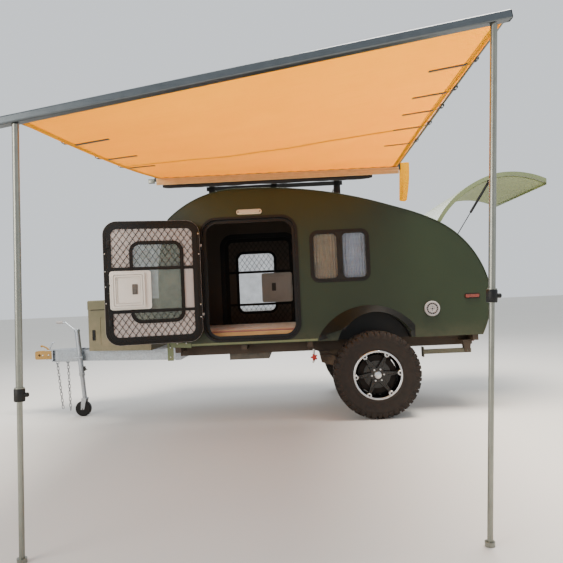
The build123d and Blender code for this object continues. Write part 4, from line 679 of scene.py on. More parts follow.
def cloth_map(u, v, size):
    """The UV map in metres of both faces of a cloth shell over u and v from 0 to 1."""
    flat = np.stack([u * size[0], v * size[1]], -1)
    return np.concatenate([flat, flat[:, ::-1]], axis=1).reshape(-1, 2)


def unit_net(count_u, count_v):
    """Parameters u and v from 0 to 1 over a net."""
    return np.meshgrid(np.linspace(0, 1, count_u), np.linspace(0, 1, count_v), indexing="ij")


def make_canopy(sag):
    """The canopy: one stretched sheet with its seams, the flap at the rear end and the black straps."""
    u, v = unit_net(121, 141)
    canopy = piece("canopy", cloth_shell(canopy_point(u, v, sag), (0, 0, -0.0012)), "trailer",
                   "canopy_ripstop_woven", uv=cloth_map(u, v, (2.09, 2.73)), sharp=60)
    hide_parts("awning_canopy")

    # A flat felled seam across the sheet, and a hem along both free ends
    runs = [(0.026, np.linspace(0, 1, 61), np.full(61, 0.455))]
    runs += [(0.034, np.full(81, end), np.linspace(0, 1, 81)) for end in (0.006, 0.994)]
    seams = together([sweep(round_rect(width, 0.0016, 0.0007, 3),
                            canopy_point(along, across, sag) - (0, 0, 0.0016))
                      for width, along, across in runs])
    seam = piece("canopy_seams", seams, "trailer", "canopy_ripstop_woven",
                 uv=seams[0][:, :2], sharp=60)

    # Straps that hold the sheet up to the rafters: a loop round the tube, its tail under the sheet
    straps = []
    webbing = round_rect(0.025, 0.002, 0.0009, 3)
    turn = np.linspace(0, 2 * PI, 24, endpoint=False)
    circle = 0.014 * np.stack([np.cos(turn), 0 * turn, np.sin(turn)], -1)
    for rear, places in ((1, (0.845, 0.7, 0.585, 0.46, 0.3)), (0, (0.8, 0.6, 0.42))):
        rafter = AWNING_REAR - 0.012 if rear else AWNING_FRONT + 0.012
        along = np.linspace(0.985, 0.9, 9) if rear else np.linspace(0.015, 0.1, 9)
        for place in places:
            tail = canopy_point(along, np.full(9, place), sag) - (0, 0, 0.0038)
            edge = canopy_point(np.array([0.999 if rear else 0.001]), np.array([place]), sag)[0]
            lift = np.array([rafter, edge[1], edge[2] + 0.022])
            down = np.linspace(lift - (0, 0, 0.013), tail[0], 6)
            straps += [sweep(webbing, tail),
                       sweep(round_rect(0.0018, 0.025, 0.0008, 3), lift + circle, INWARD, closed=True),
                       sweep(webbing, down, (1 if rear else -1, 0, 0.3))]
    straps = together(straps)
    piece("canopy_straps", straps, "trailer", "webbing_woven", uv=straps[0][:, :2], sharp=60)

    # The end flap that hangs loose below the case
    u, v = unit_net(25, 49)
    wide = 0.085 * (1 - 0.25 * v) + 0.01 * np.sin(PI * v)
    x = AWNING_REAR + 0.002 + u * wide - 0.012 * v
    y = CASE_Y - 0.008 + 0.01 * np.sin(2.5 * PI * u + 1.5 * v) * (0.2 + v) + 0.01 * v
    z = CASE_HEIGHT + 0.028 - 0.33 * v - 0.012 * np.sin(PI * u) * v
    flap = piece("canopy_end_flap", cloth_shell(np.stack([x, y, z], -1), (0, 0.0014, 0)), "trailer",
                 "canopy_ripstop_woven", uv=cloth_map(u, v, (0.085, 0.33)), sharp=60)


# The wheels

def tyre_skin(side_y):
    """The carcass of a tyre turned about its axle: flat tread with two grooves, rounded shoulders, a
    bulging sidewall with two raised bands, and the bead. side_y is the wheel's middle."""
    wall = np.array([(0.2065, 0.104), (0.211, 0.112), (0.221, 0.116), (0.227, 0.1185), (0.2305, 0.1185),
                     (0.235, 0.1165), (0.258, 0.1205), (0.284, 0.1222), (0.3045, 0.1222),
                     (0.3055, 0.1225), (0.3145, 0.1225), (0.3155, 0.1215), (0.331, 0.1195),
                     (0.3435, 0.115), (0.353, 0.106), (0.3595, 0.096)])
    tread = np.array([(0.3625, 0.085), (0.3635, 0.052), (0.359, 0.047), (0.359, 0.039), (0.3635, 0.034)])
    half = np.vstack([wall, tread])
    profile = np.vstack([half * (1, -1), [(0.364, 0.0)], half[::-1], [(0.2065, 0.0)]])
    return lathe(profile, (0, side_y, HUB_HEIGHT), (0, np.sign(side_y), 0), 240)


def lug(length, width, height, lean, draft):
    """A tread block in its own axes, x round the tyre, y across and z outwards: a four-sided net that
    narrows upwards by its draft and is turned by its lean in degrees, with a sipe cut across it. Its
    foot is sunk 3 mm into the tread."""
    half_x, half_y = length / 2, width / 2
    x = np.array([-half_x, -half_x + 0.002, -0.0012, -0.0012, 0.0012, 0.0012, half_x - 0.002, half_x])
    top = np.array([0.0, 1.0, 1.0, 0.55, 0.55, 1.0, 1.0, 0.0])
    y = np.array([-half_y, -half_y + 0.002, half_y - 0.002, half_y])
    rise = np.array([0.0, 1.0, 1.0, 0.0])
    grid_x, grid_y = np.meshgrid(x, y, indexing="ij")
    grid_z = np.minimum(top[:, None], rise[None]) * height
    shrink = 1 - draft * grid_z / height
    turn = np.radians(lean)
    placed_x = (grid_x * np.cos(turn) - grid_y * np.sin(turn)) * shrink
    placed_y = (grid_x * np.sin(turn) + grid_y * np.cos(turn)) * shrink
    return np.stack([placed_x, placed_y, grid_z - 0.003 * (grid_z <= 0)], -1)


def lugs_round(side_y, blocks, radius, count):
    """Tread blocks wrapped round a tyre: a block's x becomes an angle about the axle, its y the place
    across the tread, its z the height over the tread, repeated count times. Past 94 mm from the middle
    the tread falls away by the block's bend and by 6 times the square of the distance."""
    out = np.sign(side_y)
    shapes = []
    steps = np.arange(count) * 2 * PI / count
    for block_net, across, ahead, bend in blocks:
        for step in steps:
            angle = step + (block_net[..., 0] + ahead) / radius
            y = across + block_net[..., 1]
            edge = np.clip(np.abs(y) - 0.094, 0, None)
            reach = radius + block_net[..., 2] - bend * edge - 6.0 * edge ** 2
            shapes.append(grid(np.stack([reach * np.sin(angle), side_y + out * y,
                                         HUB_HEIGHT + reach * np.cos(angle)], -1)))
    return together(shapes)


def shoulder_blocks(side_y, count, flip):
    """The blocks that run from the shoulder down the sidewall: a short ladder of rings, each carried
    from the tread's edge down to 60 mm below it, every second one longer and wider than its neighbours.
    flip is the side of the tyre, 1 outwards and -1 inwards."""
    out = np.sign(side_y)
    path = np.array([(0.374, 0.08), (0.3725, 0.104), (0.365, 0.116), (0.35, 0.1222), (0.332, 0.1226),
                     (0.316, 0.1224)])
    inner = np.array([(0.359, 0.08), (0.354, 0.098), (0.346, 0.107), (0.336, 0.112), (0.327, 0.1155),
                      (0.3165, 0.117)])
    shapes = []
    for number in range(count):
        long = number % 2
        steps = len(path) if long else len(path) - 1
        half = np.linspace(0.0185, 0.0155, steps) * (1.25 if long else 0.85)
        middle = number * 2 * PI / count
        rows = []
        for edge, level in ((-1, inner), (-0.9, path), (0.9, path), (1, inner)):
            angle = middle + edge * half / 0.365
            reach, across = level[:steps, 0], level[:steps, 1]
            rows.append(np.stack([reach * np.sin(angle), side_y + out * flip * across,
                                  HUB_HEIGHT + reach * np.cos(angle)], -1))
        net = np.stack(rows, 1)
        vertices, faces = grid(net)
        lid = [[0, 1, 2, 3], [4 * (steps - 1) + k for k in (3, 2, 1, 0)]]
        shapes.append((vertices, faces + lid))
    return together(shapes)


def make_tyres(count):
    """Both tyres: the carcass with its beads, the tread's blocks in four rows of a count each, with
    sipes, and the shoulders' blocks."""
    for name, side_y in WHEELS:
        centre = lug(0.034, 0.052, 0.0112, 24, 0.08)
        second = lug(0.03, 0.044, 0.0112, -20, 0.08)
        tread = lugs_round(side_y, ((centre, -0.0145, 0.0, 0.0), (centre, 0.0145, 0.046, 0.0),
                                    (second, -0.066, 0.022, 0.05), (second, 0.066, 0.066, 0.05)),
                           0.3637, count)
        shapes = [tyre_skin(side_y), tread] + [shoulder_blocks(side_y, count * 2, flip)
                                               for flip in (1, -1)]
        tyre = piece(f"tyre_{name}", shapes, f"wheel_{name}", "tyre_rubber_vulcanised",
                     sharp=35)
        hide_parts(f"wheel_tyre_{name}")


# The rim's spokes, and how far the first one is turned, in degrees
SPOKES = 6
SPOKE_TURN = 4


def make_wheel_trim():
    """The rim's bright parts: the turned lip with its six bosses and their dark bolts, the cap, the nuts,
    and behind the spokes the brake drum, with the valve at the rim."""
    for name, side_y in WHEELS:
        out = np.sign(side_y)
        axle = (0, out, 0)
        middle = np.array([0, side_y, HUB_HEIGHT])
        face, hub = middle + (0, out * 0.1115, 0), middle + (0, out * 0.084, 0)
        bosses = [lathe([(0.1945, -0.012), (0.1945, 0.0012), (0.1965, 0.0026), (0.2075, 0.003),
                         (0.2095, 0.0015), (0.2095, -0.004)], face, axle, 160)]
        bolts = []
        caps = [lathe([(0.0, 0.027), (0.021, 0.0265), (0.0285, 0.0245), (0.0325, 0.0185),
                       (0.0345, 0.0), (0.0, 0.0)], hub, axle, 48)]
        for turn in np.radians(SPOKE_TURN + 360 / SPOKES * np.arange(SPOKES)):
            around = np.array([np.cos(turn), 0, np.sin(turn)])
            boss, nut = face + 0.189 * around, hub + 0.052 * around
            bosses.append(lathe([(0.01, 0.001), (0.011, 0.0026), (0.0195, 0.0026), (0.0212, 0.001),
                                 (0.0212, -0.03), (0.01, -0.002)], boss, axle, 40))
            bolts.append(lathe([(0.0, 0.0012), (0.005, 0.0012), (0.006, 0.002), (0.0078, 0.0012),
                                (0.0082, -0.005), (0.0, -0.005)], boss, axle, 12))
            caps.append(lathe([(0.0, 0.0215), (0.007, 0.021), (0.01, 0.0175), (0.0112, 0.0125),
                               (0.0118, 0.0), (0.0, 0.0)], nut, axle, 6))
        drum = lathe([(0.119, -0.075), (0.166, -0.075), (0.17, -0.07), (0.17, -0.02),
                      (0.167, -0.017), (0.167, -0.01), (0.17, -0.007), (0.17, 0.018),
                      (0.164, 0.026), (0.119, 0.03)], middle, axle, 96)
        valve = rod(face + (0, -out * 0.006, 0.176), face + (0, out * 0.012, 0.171), 0.004, 12)
        for title, shapes, finish, slot, sharp in (
                ("rim_lip", bosses, "alloy_face_turned", "wheel_alloy", 40),
                ("rim_bolts", bolts, "bolt_steel_blacked", "suspension_black", 30),
                ("rim_cap", caps, "alloy_face_turned", "wheel_alloy", 30),
                ("brake_drum", drum, "brake_iron_cast", "suspension_black", 40),
                ("valve", valve, "black_rubber_moulded", "black_rubber", 40)):
            piece(f"{title}_{name}", shapes, f"wheel_{name}", finish, sharp=sharp)


# Doors and windows

# An opening is a width, a height and a corner radius. The middles of door, glass and window are in the
# plane between both sides, and each rim is moved out from there. LEAF_OUTER and LEAF_INNER are the faces
# of a shut near leaf.
DOOR = (0.82, 1.06, 0.12)
DOOR_MIDDLE = np.array([-1.065, 0.0, 1.268])
DOOR_HINGE = np.array([-1.49, -0.772, 0.0])
DOOR_OPENING = 165.0
DOOR_GLASS = (0.418, 0.665, 0.07)
DOOR_GLASS_MIDDLE = np.array([-1.099, 0.0, 1.2705])
DOOR_PANEL_MIDDLE = np.array([-0.8725, -0.6924, 1.2055])
LEAF_OUTER = -0.742
LEAF_INNER = -0.715
WINDOW = (0.52, 0.456, 0.07)
WINDOW_MIDDLE = np.array([-0.261, 0.0, 1.436])


def rim(opening, grow, wide):
    """The outer and inner rectangles of a rim at an opening: the outer one is larger than the opening by
    grow, and the inner one smaller than the outer by wide."""
    return [np.array(opening) + (by, by, by / 2) for by in (grow, grow - wide)]


def on_doors(name, shapes, material):
    """The same shapes on both leaves, drawn on the near one as if it were closed: opened about its hinge
    on the near side, mirrored across the trailer on the far side, which stays shut."""
    shape = together(shapes)
    opened = turned_about(shape[0], DOOR_HINGE, -DOOR_OPENING), shape[1]
    for side, leaf in (("left", opened), ("right", mirrored(shape))):
        piece(f"{name}_{side}", leaf, f"door_{side}", material)


def make_door_furniture():
    """What the leaves carry: the seal round the inner face, the window's rubber, the moulded frames and
    latch of the white panel, slam locks at the free edge, the outer handle and the hinge screws."""
    seal = framed(*rim(DOOR, -0.004, 0.054), 12, DOOR_MIDDLE + (0, LEAF_INNER - 0.001, 0), INWARD, 0.0045)
    on_doors("door_seal", seal, "black_rubber_moulded")
    rubber = [framed(*rim(DOOR_GLASS, grow, grow + 0.012), 12, DOOR_GLASS_MIDDLE + (0, y, 0), normal,
                     height)
              for grow, y, normal, height in ((0.044, LEAF_OUTER + 0.001, OUTWARD, 0.008),
                                              (0.03, -0.7052, INWARD, 0.0042))]
    on_doors("door_window_rubber", rubber, "black_rubber_moulded")

    # Three frames step down towards the panel's middle, with a strip beside them and a latch inside
    middle = DOOR_PANEL_MIDDLE
    frames = [framed(outer, inner, 8, middle + (0.019, -sunk, 0), INWARD, height, edge)
              for outer, inner, sunk, height, edge in (
                  ((0.273, 0.297, 0.014), (0.243, 0.265, 0.01), 0.002, 0.0225, 0.005),
                  ((0.236, 0.258, 0.012), (0.206, 0.226, 0.009), 0.001, 0.016, 0.005),
                  ((0.199, 0.219, 0.01), (0.187, 0.207, 0.008), 0.001, 0.01, 0.002))]
    on_doors("door_panel_frames", frames, "cream_abs_moulded")
    strip = block(middle + (0.161, -0.002, 0), (0.011, 0.011, 0.304), 0.003)
    on_doors("door_panel_strip", strip, "cream_abs_moulded")
    latch = [framed((0.046, 0.088, 0.006), (0.034, 0.074, 0.004), 6, middle + (-0.036, 0.0035, 0.006),
                    INWARD, 0.0075),
             block(middle + (-0.036, 0.0075, 0.006), (0.036, 0.004, 0.076), 0.001),
             block(middle + (-0.036, 0.0105, -0.012), (0.024, 0.006, 0.022), 0.002)]
    on_doors("door_panel_latch", latch, "grey_abs_moulded")

    locks = []
    for height in (0.935, 1.25, 1.6):
        locks += [block((-0.697, -0.7005, height), (0.026, 0.011, 0.064), 0.003),
                  rod((-0.697, -0.6955, height), (-0.697, -0.69, height), 0.008, 16)]
    locks += [lathe([(0.0, 0.0022), (0.003, 0.002), (0.0042, 0.0), (0.0, 0.0)], (x, LEAF_OUTER, height),
                    OUTWARD, 12)
              for hinge in ((0.973, 1.015), (1.578, 1.62)) for x in (-1.453, -1.441) for height in hinge]
    on_doors("door_locks", locks, "black_abs_moulded")
    handle = [framed((0.105, 0.076, 0.014), (0.083, 0.054, 0.008), 8, (-0.738, LEAF_OUTER + 0.001, 1.17),
                     OUTWARD, 0.0072),
              block((-0.738, LEAF_OUTER - 0.0005, 1.17), (0.09, 0.004, 0.062), 0.0015),
              block((-0.738, LEAF_OUTER - 0.006, 1.178), (0.078, 0.009, 0.026), 0.004)]
    on_doors("door_handle", handle, "black_abs_moulded")
    screws = [(x, -0.7117, z) for x, heights in ((-0.668, (1.1, 1.24, 1.37, 1.52)),
                                                 (-1.462, (0.95, 1.06, 1.5, 1.68))) for z in heights]
    on_doors("door_edge_screws", heads(screws, INWARD, 0.005, 0.0012), "steel_screw_zinc")

    # The body's frame round each door: a bead at its outer edge and one by the opening
    beads = [framed(*rim(DOOR, grow, wide), 14, DOOR_MIDDLE - (0, 0.7495, 0), OUTWARD, 0.003, 0.001)
             for grow, wide in ((0.048, 0.01), (0.024, 0.008))]
    piece("door_frame_beads", both_sides(beads), "trailer", "black_rubber_moulded")


def make_window_dressing():
    """The side windows' dress: a rubber bead round each frame, catches on the mullion, and a gathered
    curtain behind each pane. A curtain's folds are a sine across its width, 3.5 mm deep at its head and
    7 mm at its foot."""
    beads = [framed(*rim(WINDOW, grow, 0.01), 14, WINDOW_MIDDLE + (0, y, 0), OUTWARD, 0.0035, 0.001)
             for grow, y in ((0.01, -0.7395), (-0.02, -0.7475))]
    beads += [block((WINDOW_MIDDLE[0], -0.7495, height), (0.016, 0.006, 0.036), 0.002)
              for height in (1.3, 1.56)]
    piece("window_beads", both_sides(beads), "trailer", "black_rubber_moulded")

    u, v = unit_net(97, 33)
    wave = 2 * PI * 8.5 * u
    y = -0.6995 + (0.0035 + 0.0035 * v) * np.sin(wave + 0.8 * np.sin(3 * v))
    z = 1.668 - 0.462 * v + 0.003 * np.sin(wave) * v
    for side, sign in (("near", 1), ("far", -1)):
        for place, x_low, x_high, cloth in (("front", -0.5, -0.282, "curtain_beige_woven"),
                                            ("rear", -0.24, -0.022, "curtain_grey_woven")):
            x = x_low + u * (x_high - x_low) + 0.002 * np.sin(9 * v + 5 * u)
            vertices, faces = cloth_shell(np.stack([x, y, z], -1), (0, 0.0009, 0))
            curtain = piece(f"curtain_{place}_{side}", (vertices * (1, sign, 1), faces), "trailer", cloth,
                            uv=cloth_map(u, v, (0.3, 0.462)), sharp=60)


# What is fixed to the body's walls

def wall_outline():
    """The outer edge of a side wall, from the nose's foot over the roof to the tail's foot: the hull of
    the outer face's points, put in order by their angle about a place near the floor."""
    wall = frame["nodes"]["side_wall_left"].data
    points = np.empty(len(wall.vertices) * 3)
    wall.vertices.foreach_get("co", points)
    points = points.reshape(-1, 3) - AXLE
    flat = points[points[:, 1] < -0.7395][:, (0, 2)]
    hull = flat[convex_hull_2d(flat.tolist())]
    angle = (np.arctan2(hull[:, 1] - 0.9, -(hull[:, 0] + 0.4)) + PI / 2) % (2 * PI)
    return hull[np.argsort(angle)]


def make_body_trim():
    """Beads along the walls' outer edges, the light sill strips, the rims, ribs and screws of the vent and
    of the lamps, and a dark ring behind the vent's ribs painted as the shade in its slots."""
    edge = wall_outline()
    bead = np.column_stack([edge[:, 0], np.full(len(edge), -0.7405), edge[:, 1]])
    piece("wall_edge_beads", both_sides(sweep(ring(0.005, 12), bead, INWARD)), "trailer",
          "olive_enamel_sprayed", sharp=60)
    sill = np.column_stack([np.linspace(-1.612, -0.492, 9), np.full(9, -0.7436), np.full(9, 0.7)])
    piece("sill_strips", both_sides(sweep(round_rect(0.0068, 0.02, 0.002, 4), sill)), "trailer",
          "sill_enamel_sprayed")

    housing = framed((0.226, 0.044, 0.0215), (0.204, 0.027, 0.013), 10, (-1.051, -0.7395, 1.862),
                     OUTWARD, 0.017)
    piece("strip_lamp_housing", housing, "trailer", "cream_lens_moulded")
    ends = heads([(-1.148, -0.764, 1.862), (-0.954, -0.764, 1.862)], OUTWARD, 0.0065, 0.002)
    piece("strip_lamp_screws", ends, "trailer", "bolt_steel_blacked")
    bezel = framed((0.134, 0.044, 0.014), (0.118, 0.029, 0.008), 8, (0.884, -0.7395, 1.028), OUTWARD,
                   0.006)
    piece("marker_lamp_bezels", both_sides(bezel), "trailer", "black_rubber_moulded")

    vent = np.array([0.526, -0.762, 0.931])
    ribs = [lathe([(0.051, 0.0005), (0.053, 0.0035), (0.062, 0.0035), (0.0668, 0.0005),
                   (0.0668, -0.02), (0.051, -0.006)], vent, OUTWARD, 64),
            lathe([(0.024, 0.0005), (0.026, 0.003), (0.035, 0.003), (0.037, 0.0005),
                   (0.037, -0.006), (0.024, -0.006)], vent, OUTWARD, 48)]
    for turn in np.arange(16) * PI / 8:
        middle = vent + 0.044 * np.array([np.cos(turn), 0, np.sin(turn)]) - (0, 0.001, 0)
        ribs.append(block(middle, (0.015, 0.004, 0.0034), 0.001, np.array(Matrix.Rotation(turn, 3, "Y"))))
    piece("wall_vent_ribs", ribs, "trailer", "white_abs_moulded")
    # A flat dark ring behind the ribs is painted shade in the vent's slots; the hex head and screws are
    # dark steel
    dark = [lathe([(0.037, 0.0006), (0.051, 0.0006), (0.051, -0.002), (0.037, -0.002)], vent,
                  OUTWARD, 64), heads([vent], OUTWARD, 0.0075, 0.004, 6),
            heads([vent + 0.0165 * np.array([np.cos(a), 0, np.sin(a)]) for a in np.arange(4) * PI / 2],
                  OUTWARD, 0.0026, 0.0012)]
    piece("wall_vent_slot_shade_and_screws", dark, "trailer", "bolt_steel_blacked")


# The awning's fittings

def make_awning_fittings():
    """Caps on the ends of the case and of the front rail, the grooved lip along the case's lower front,
    the arm bracket at the front end, and on each pole a clamp where the upper tube slides into the
    lower."""
    caps = [block((x, CASE_Y, CASE_HEIGHT), (0.01, 0.042, 0.066), 0.004) for x in (-1.864, 0.294)]
    slope = unit((1.0, 0.0, RAIL_SLOPE))
    for x, reach in ((-1.935, 0.01), (0.293, -0.01)):
        end = np.array([x, RAIL_Y, rail_height(x)])
        caps.append(sweep(round_rect(0.05, 0.038, 0.008, 5),
                          np.stack([end - slope * 0.0012 * np.sign(reach), end + slope * reach])))
    clamps = []
    for top_x, foot_x, height in ((-1.845, -1.878, 0.698), (0.222, 0.089, 1.032)):
        foot = np.array([foot_x, RAIL_Y, GROUND])
        line = unit(np.array([top_x, RAIL_Y, rail_height(top_x) - 0.022]) - foot)
        clamps.append(lathe([(0.0215, -0.019), (0.0234, -0.016), (0.0234, 0.032), (0.0215, 0.035)],
                            foot + line * height, line, 40))
        clamps.append(lathe([(0.0, 0.01), (0.008, 0.009), (0.01, 0.006), (0.01, -0.008), (0.0, -0.008)],
                            foot + line * (height + 0.008) + (0.03, 0, 0), X_AXIS, 12))
    piece("awning_end_caps", caps + clamps, "trailer", "black_abs_moulded")
    lip = np.array([(-0.026, 0.024), (0.008, 0.024), (0.008, 0.012), (0.005, 0.01), (0.005, 0.007),
                    (0.008, 0.005), (0.008, -0.015), (0.005, -0.017), (0.005, -0.02),
                    (0.008, -0.022), (0.008, -0.03), (0.004, -0.034), (0.0, -0.034),
                    (0.0, 0.02), (-0.026, 0.02)])
    path = np.column_stack([np.linspace(AWNING_FRONT + 0.014, AWNING_REAR - 0.014, 5),
                            np.full(5, -0.8455), np.full(5, 2.154)])
    piece("awning_case_lip", sweep(lip, path), "trailer", "aluminium_case_painted",
          sharp=30)
    arm = [block((-1.898, -0.8, 2.166), (0.058, 0.032, 0.04), 0.006),
           rod((-1.89, -0.818, 2.164), (-1.89, -0.782, 2.164), 0.011, 20),
           heads([(-1.89, -0.818, 2.164)], OUTWARD, 0.0085, 0.005, 6)]
    piece("awning_arm_bracket", arm, "trailer", "aluminium_anodised_pole")


# Chassis and drawbar

CHAIN_PITCH = 0.0325
CHAIN_WIRE = 0.0035
LINK_LENGTH = 0.046
LINK_WIDTH = 0.027


def link_shape(middle, forward, flat):
    """A chain link: a round wire swept round a stadium, two straight runs and two half circles."""
    reach = (LINK_LENGTH - LINK_WIDTH) / 2
    bend = LINK_WIDTH / 2 - CHAIN_WIRE
    turn = np.linspace(-PI / 2, PI / 2, 8)
    right = np.column_stack([reach + bend * np.cos(turn), bend * np.sin(turn)])
    left = np.column_stack([-reach - bend * np.cos(turn), -bend * np.sin(turn)])
    outline = np.vstack([right, left])
    forward, flat = unit(forward), unit(flat)
    across = np.cross(flat, forward)
    path = np.asarray(middle) + outline[:, :1] * forward + outline[:, 1:] * across
    return sweep(ring(CHAIN_WIRE, 8), path, flat, closed=True)


def make_chains():
    """The two safety chains as round wire links, each turned a quarter from the one above it."""
    links = []
    for hang_x, hang_y, count, lean in ((-3.1, -0.045, 14, 5.5), (-3.028, 0.045, 15, 1.5)):
        down = np.array([np.sin(np.radians(lean)), 0.0, -np.cos(np.radians(lean))])
        for number in range(count):
            middle = np.array([hang_x, hang_y, 0.505]) + down * number * CHAIN_PITCH
            flat = INWARD if number % 2 else np.array([-down[2], 0.0, down[0]])
            links.append(link_shape(middle, down, flat))
    chain = piece("safety_chain_links", links, "trailer", "zinc_chain_plated",
                  sharp=60)
    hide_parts("safety_chains")


def make_springs():
    """Coil springs round their cores: a wire swept along a helix of five and a half turns, flattened at
    both ends, on a seat ring."""
    t = np.linspace(0, 1, 221)
    angle = 2 * PI * 5.5 * t
    path = np.stack([-0.15 + 0.0435 * np.cos(angle), -0.59 + 0.0435 * np.sin(angle),
                     0.452 + 0.176 * np.clip((t - 0.06) / 0.88, 0, 1)], -1)
    seat = lathe([(0.036, 0.0), (0.055, 0.0), (0.057, 0.003), (0.055, 0.006), (0.036, 0.006)],
                 (-0.15, -0.59, 0.44), Z_AXIS, 40)
    piece("coil_springs", both_sides([sweep(ring(0.0062, 10), path), seat]), "trailer",
          "suspension_powder_coat", sharp=50)


def make_drawbar_fittings():
    """The jockey wheel's collars, pin and crank grip, the coupling's lever and bolts, the corner plates'
    bolts, and the water tap with its red wheel."""
    top, line = np.array([-2.833, -0.205, 0.86]), unit((0.057, 0.0, -0.693))
    clamp = top + line * 0.268
    collars = [lathe(profile, top, line, 40) for profile in (
        [(0.0242, -0.005), (0.0262, -0.002), (0.0272, 0.002), (0.0272, 0.02), (0.0242, 0.023)],
        [(0.0242, 0.42), (0.0275, 0.423), (0.0275, 0.45), (0.0242, 0.4545)],
        [(0.0, -0.006), (0.012, -0.0058), (0.0236, -0.002), (0.0236, 0.001), (0.0, 0.001)])]
    collars += [rod(clamp - (0, 0.03, 0), clamp - (0, 0.056, 0), 0.007, 16),
                rod(clamp + (-0.045, -0.054, 0), clamp + (0.045, -0.054, 0), 0.005, 14)]
    piece("jockey_collars", collars, "trailer", "zinc_hot_dipped")
    holder = top + line * 0.385
    pin = [block(holder + (0.03, 0, 0), (0.022, 0.02, 0.046), 0.005),
           rod(holder + (0.038, 0, 0), holder + (0.056, 0, -0.012), 0.005, 14)]
    piece("jockey_pin", pin, "trailer", "black_abs_moulded")
    grip = lathe([(0.0092, 0.0), (0.0125, 0.002), (0.0132, 0.03), (0.012, 0.062), (0.0092, 0.064)],
                 (-2.968, -0.205, 0.9377), (-1, 0, 0.02), 24)
    piece("jockey_crank_grip", grip, "trailer", "white_abs_moulded")

    bend = np.array([(-3.202, 0.0, 0.656), (-3.212, 0.0, 0.67), (-3.23, 0.0, 0.684),
                     (-3.252, 0.0, 0.695), (-3.27, 0.0, 0.7)])
    lever = [sweep(round_rect(0.016, 0.009, 0.003, 4), bend, INWARD),
             lathe([(0.0, -0.011), (0.008, -0.01), (0.012, 0.0), (0.008, 0.01), (0.0, 0.011)],
                   (-3.276, 0.0, 0.7), (1, 0, 0), 20),
             block((-3.206, 0.0, 0.6575), (0.03, 0.034, 0.012), 0.004)]
    piece("coupling_lever", lever, "trailer", "orange_polyurethane_cast")
    bolts = [heads([(-3.25, -0.038, 0.61), (-3.19, -0.038, 0.61)], OUTWARD, 0.0095, 0.0065, 6),
             heads([(-1.803, -0.744, 0.6), (-1.803, -0.744, 0.685), (-1.74, -0.744, 0.718),
                    (-1.66, -0.744, 0.718)], OUTWARD, 0.007, 0.0045, 6)]
    piece("drawbar_bolts", both_sides(bolts), "trailer", "steel_screw_zinc")

    tap = np.array([-0.53, -0.7, 0.545])
    body = [rod(tap + (0, 0, 0.07), tap - (0, 0, 0.03), 0.01, 16),
            rod(tap + (0, 0.015, 0), tap - (0, 0.024, 0), 0.012, 16),
            rod(tap - (0, 0, 0.026), tap - (0.014, 0, 0.052), 0.0095, 16, 0.0075)]
    piece("water_tap", body, "trailer", "steel_screw_zinc")
    turn = np.linspace(0, 2 * PI, 80, endpoint=False)
    reach = 0.025 + 0.007 * np.cos(5 * turn)
    lobes = np.stack([reach * np.cos(turn), reach * np.sin(turn)], -1)
    wheel = sweep(lobes, tap - np.array([(0, 0.022, 0), (0, 0.026, 0), (0, 0.033, 0), (0, 0.037, 0)]),
                  scale=(0.86, 1.0, 1.0, 0.86))
    piece("water_tap_wheel", wheel, "trailer", "red_nylon_moulded")


def make_box_fittings():
    """The front box's side catches, pressed side frames and the seal under its lid. The near side runs
    slantwise from its front corner, so a place on it is the corner plus a distance along the side."""
    corner, along = np.array([-2.68, -0.33, 0.0]), np.array([0.9443, -0.3291, 0.0])
    out = np.array([-0.3291, -0.9443, 0.0])
    catch = corner + along * 0.07 + (0, 0, 0.805)
    turned = np.array([along, out, Z_AXIS])
    catches = [framed((0.034, 0.1, 0.006), (0.024, 0.09, 0.004), 6, catch, out, 0.0045, along=along),
               block(catch, (0.025, 0.003, 0.091), 0.001, turned),
               block(catch + out * 0.003 + (0, 0, 0.01), (0.018, 0.006, 0.056), 0.002, turned)]
    piece("box_catches", both_sides(catches), "trailer", "black_abs_moulded")
    pressed = framed((0.49, 0.29, 0.03), (0.466, 0.266, 0.02), 8,
                     corner + along * 0.38 - out * 0.0005 + (0, 0, 0.845), out, 0.005, 0.003, along)
    piece("box_pressings", both_sides(pressed), "trailer", "box_enamel_sprayed")
    near = corner + out * 0.0008 + (0, 0, 1.0462)
    seal = both_sides(rod(near + along * 0.04, near + along * 0.67, 0.003, 10))
    front = rod((-2.6808, -0.295, 1.0462), (-2.6808, 0.295, 1.0462), 0.003, 10)
    piece("box_lid_seal", [seal, front], "trailer", "black_rubber_moulded")


# Soft goods

def make_awning_bag():
    """The awning's bag, open and hanging empty from the case: its section is a flat loop 55 mm deep and
    37 mm high with slow waves of 3 mm, lower by 6 mm between its straps."""
    u = np.linspace(0, 1, 161)[:, None]
    turn = np.linspace(0, 2 * PI, 36, endpoint=False)[None]
    x = AWNING_FRONT + 0.062 + u * (AWNING_REAR - AWNING_FRONT - 0.304)
    hang = 0.006 * np.abs(np.sin(5 * PI * u)) + 0.003 * np.sin(31 * u + 2.0)
    squeeze = 1 - 0.55 * (np.abs(2 * u - 1) ** 24)
    fold = 0.0022 * np.sin(3 * turn + 21 * u) + 0.0012 * np.sin(7 * turn - 55 * u)
    y = CASE_Y - 0.015 + (0.0275 + fold) * np.cos(turn) * squeeze
    z = CASE_HEIGHT - 0.08 - hang * (1 - np.sin(turn)) / 2 + (0.0185 + fold) * np.sin(turn) * squeeze
    shape = grid(np.stack(np.broadcast_arrays(x, y, z), -1), wrap_v=True, caps=True)
    flat = np.stack(np.broadcast_arrays(u * 1.85, turn * 0.028), -1).reshape(-1, 2)
    bag = piece("awning_bag_cloth", shape, "trailer", "bag_polyester_woven",
                uv=np.vstack([flat, flat[:2]]), sharp=60)
    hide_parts("awning_bag")


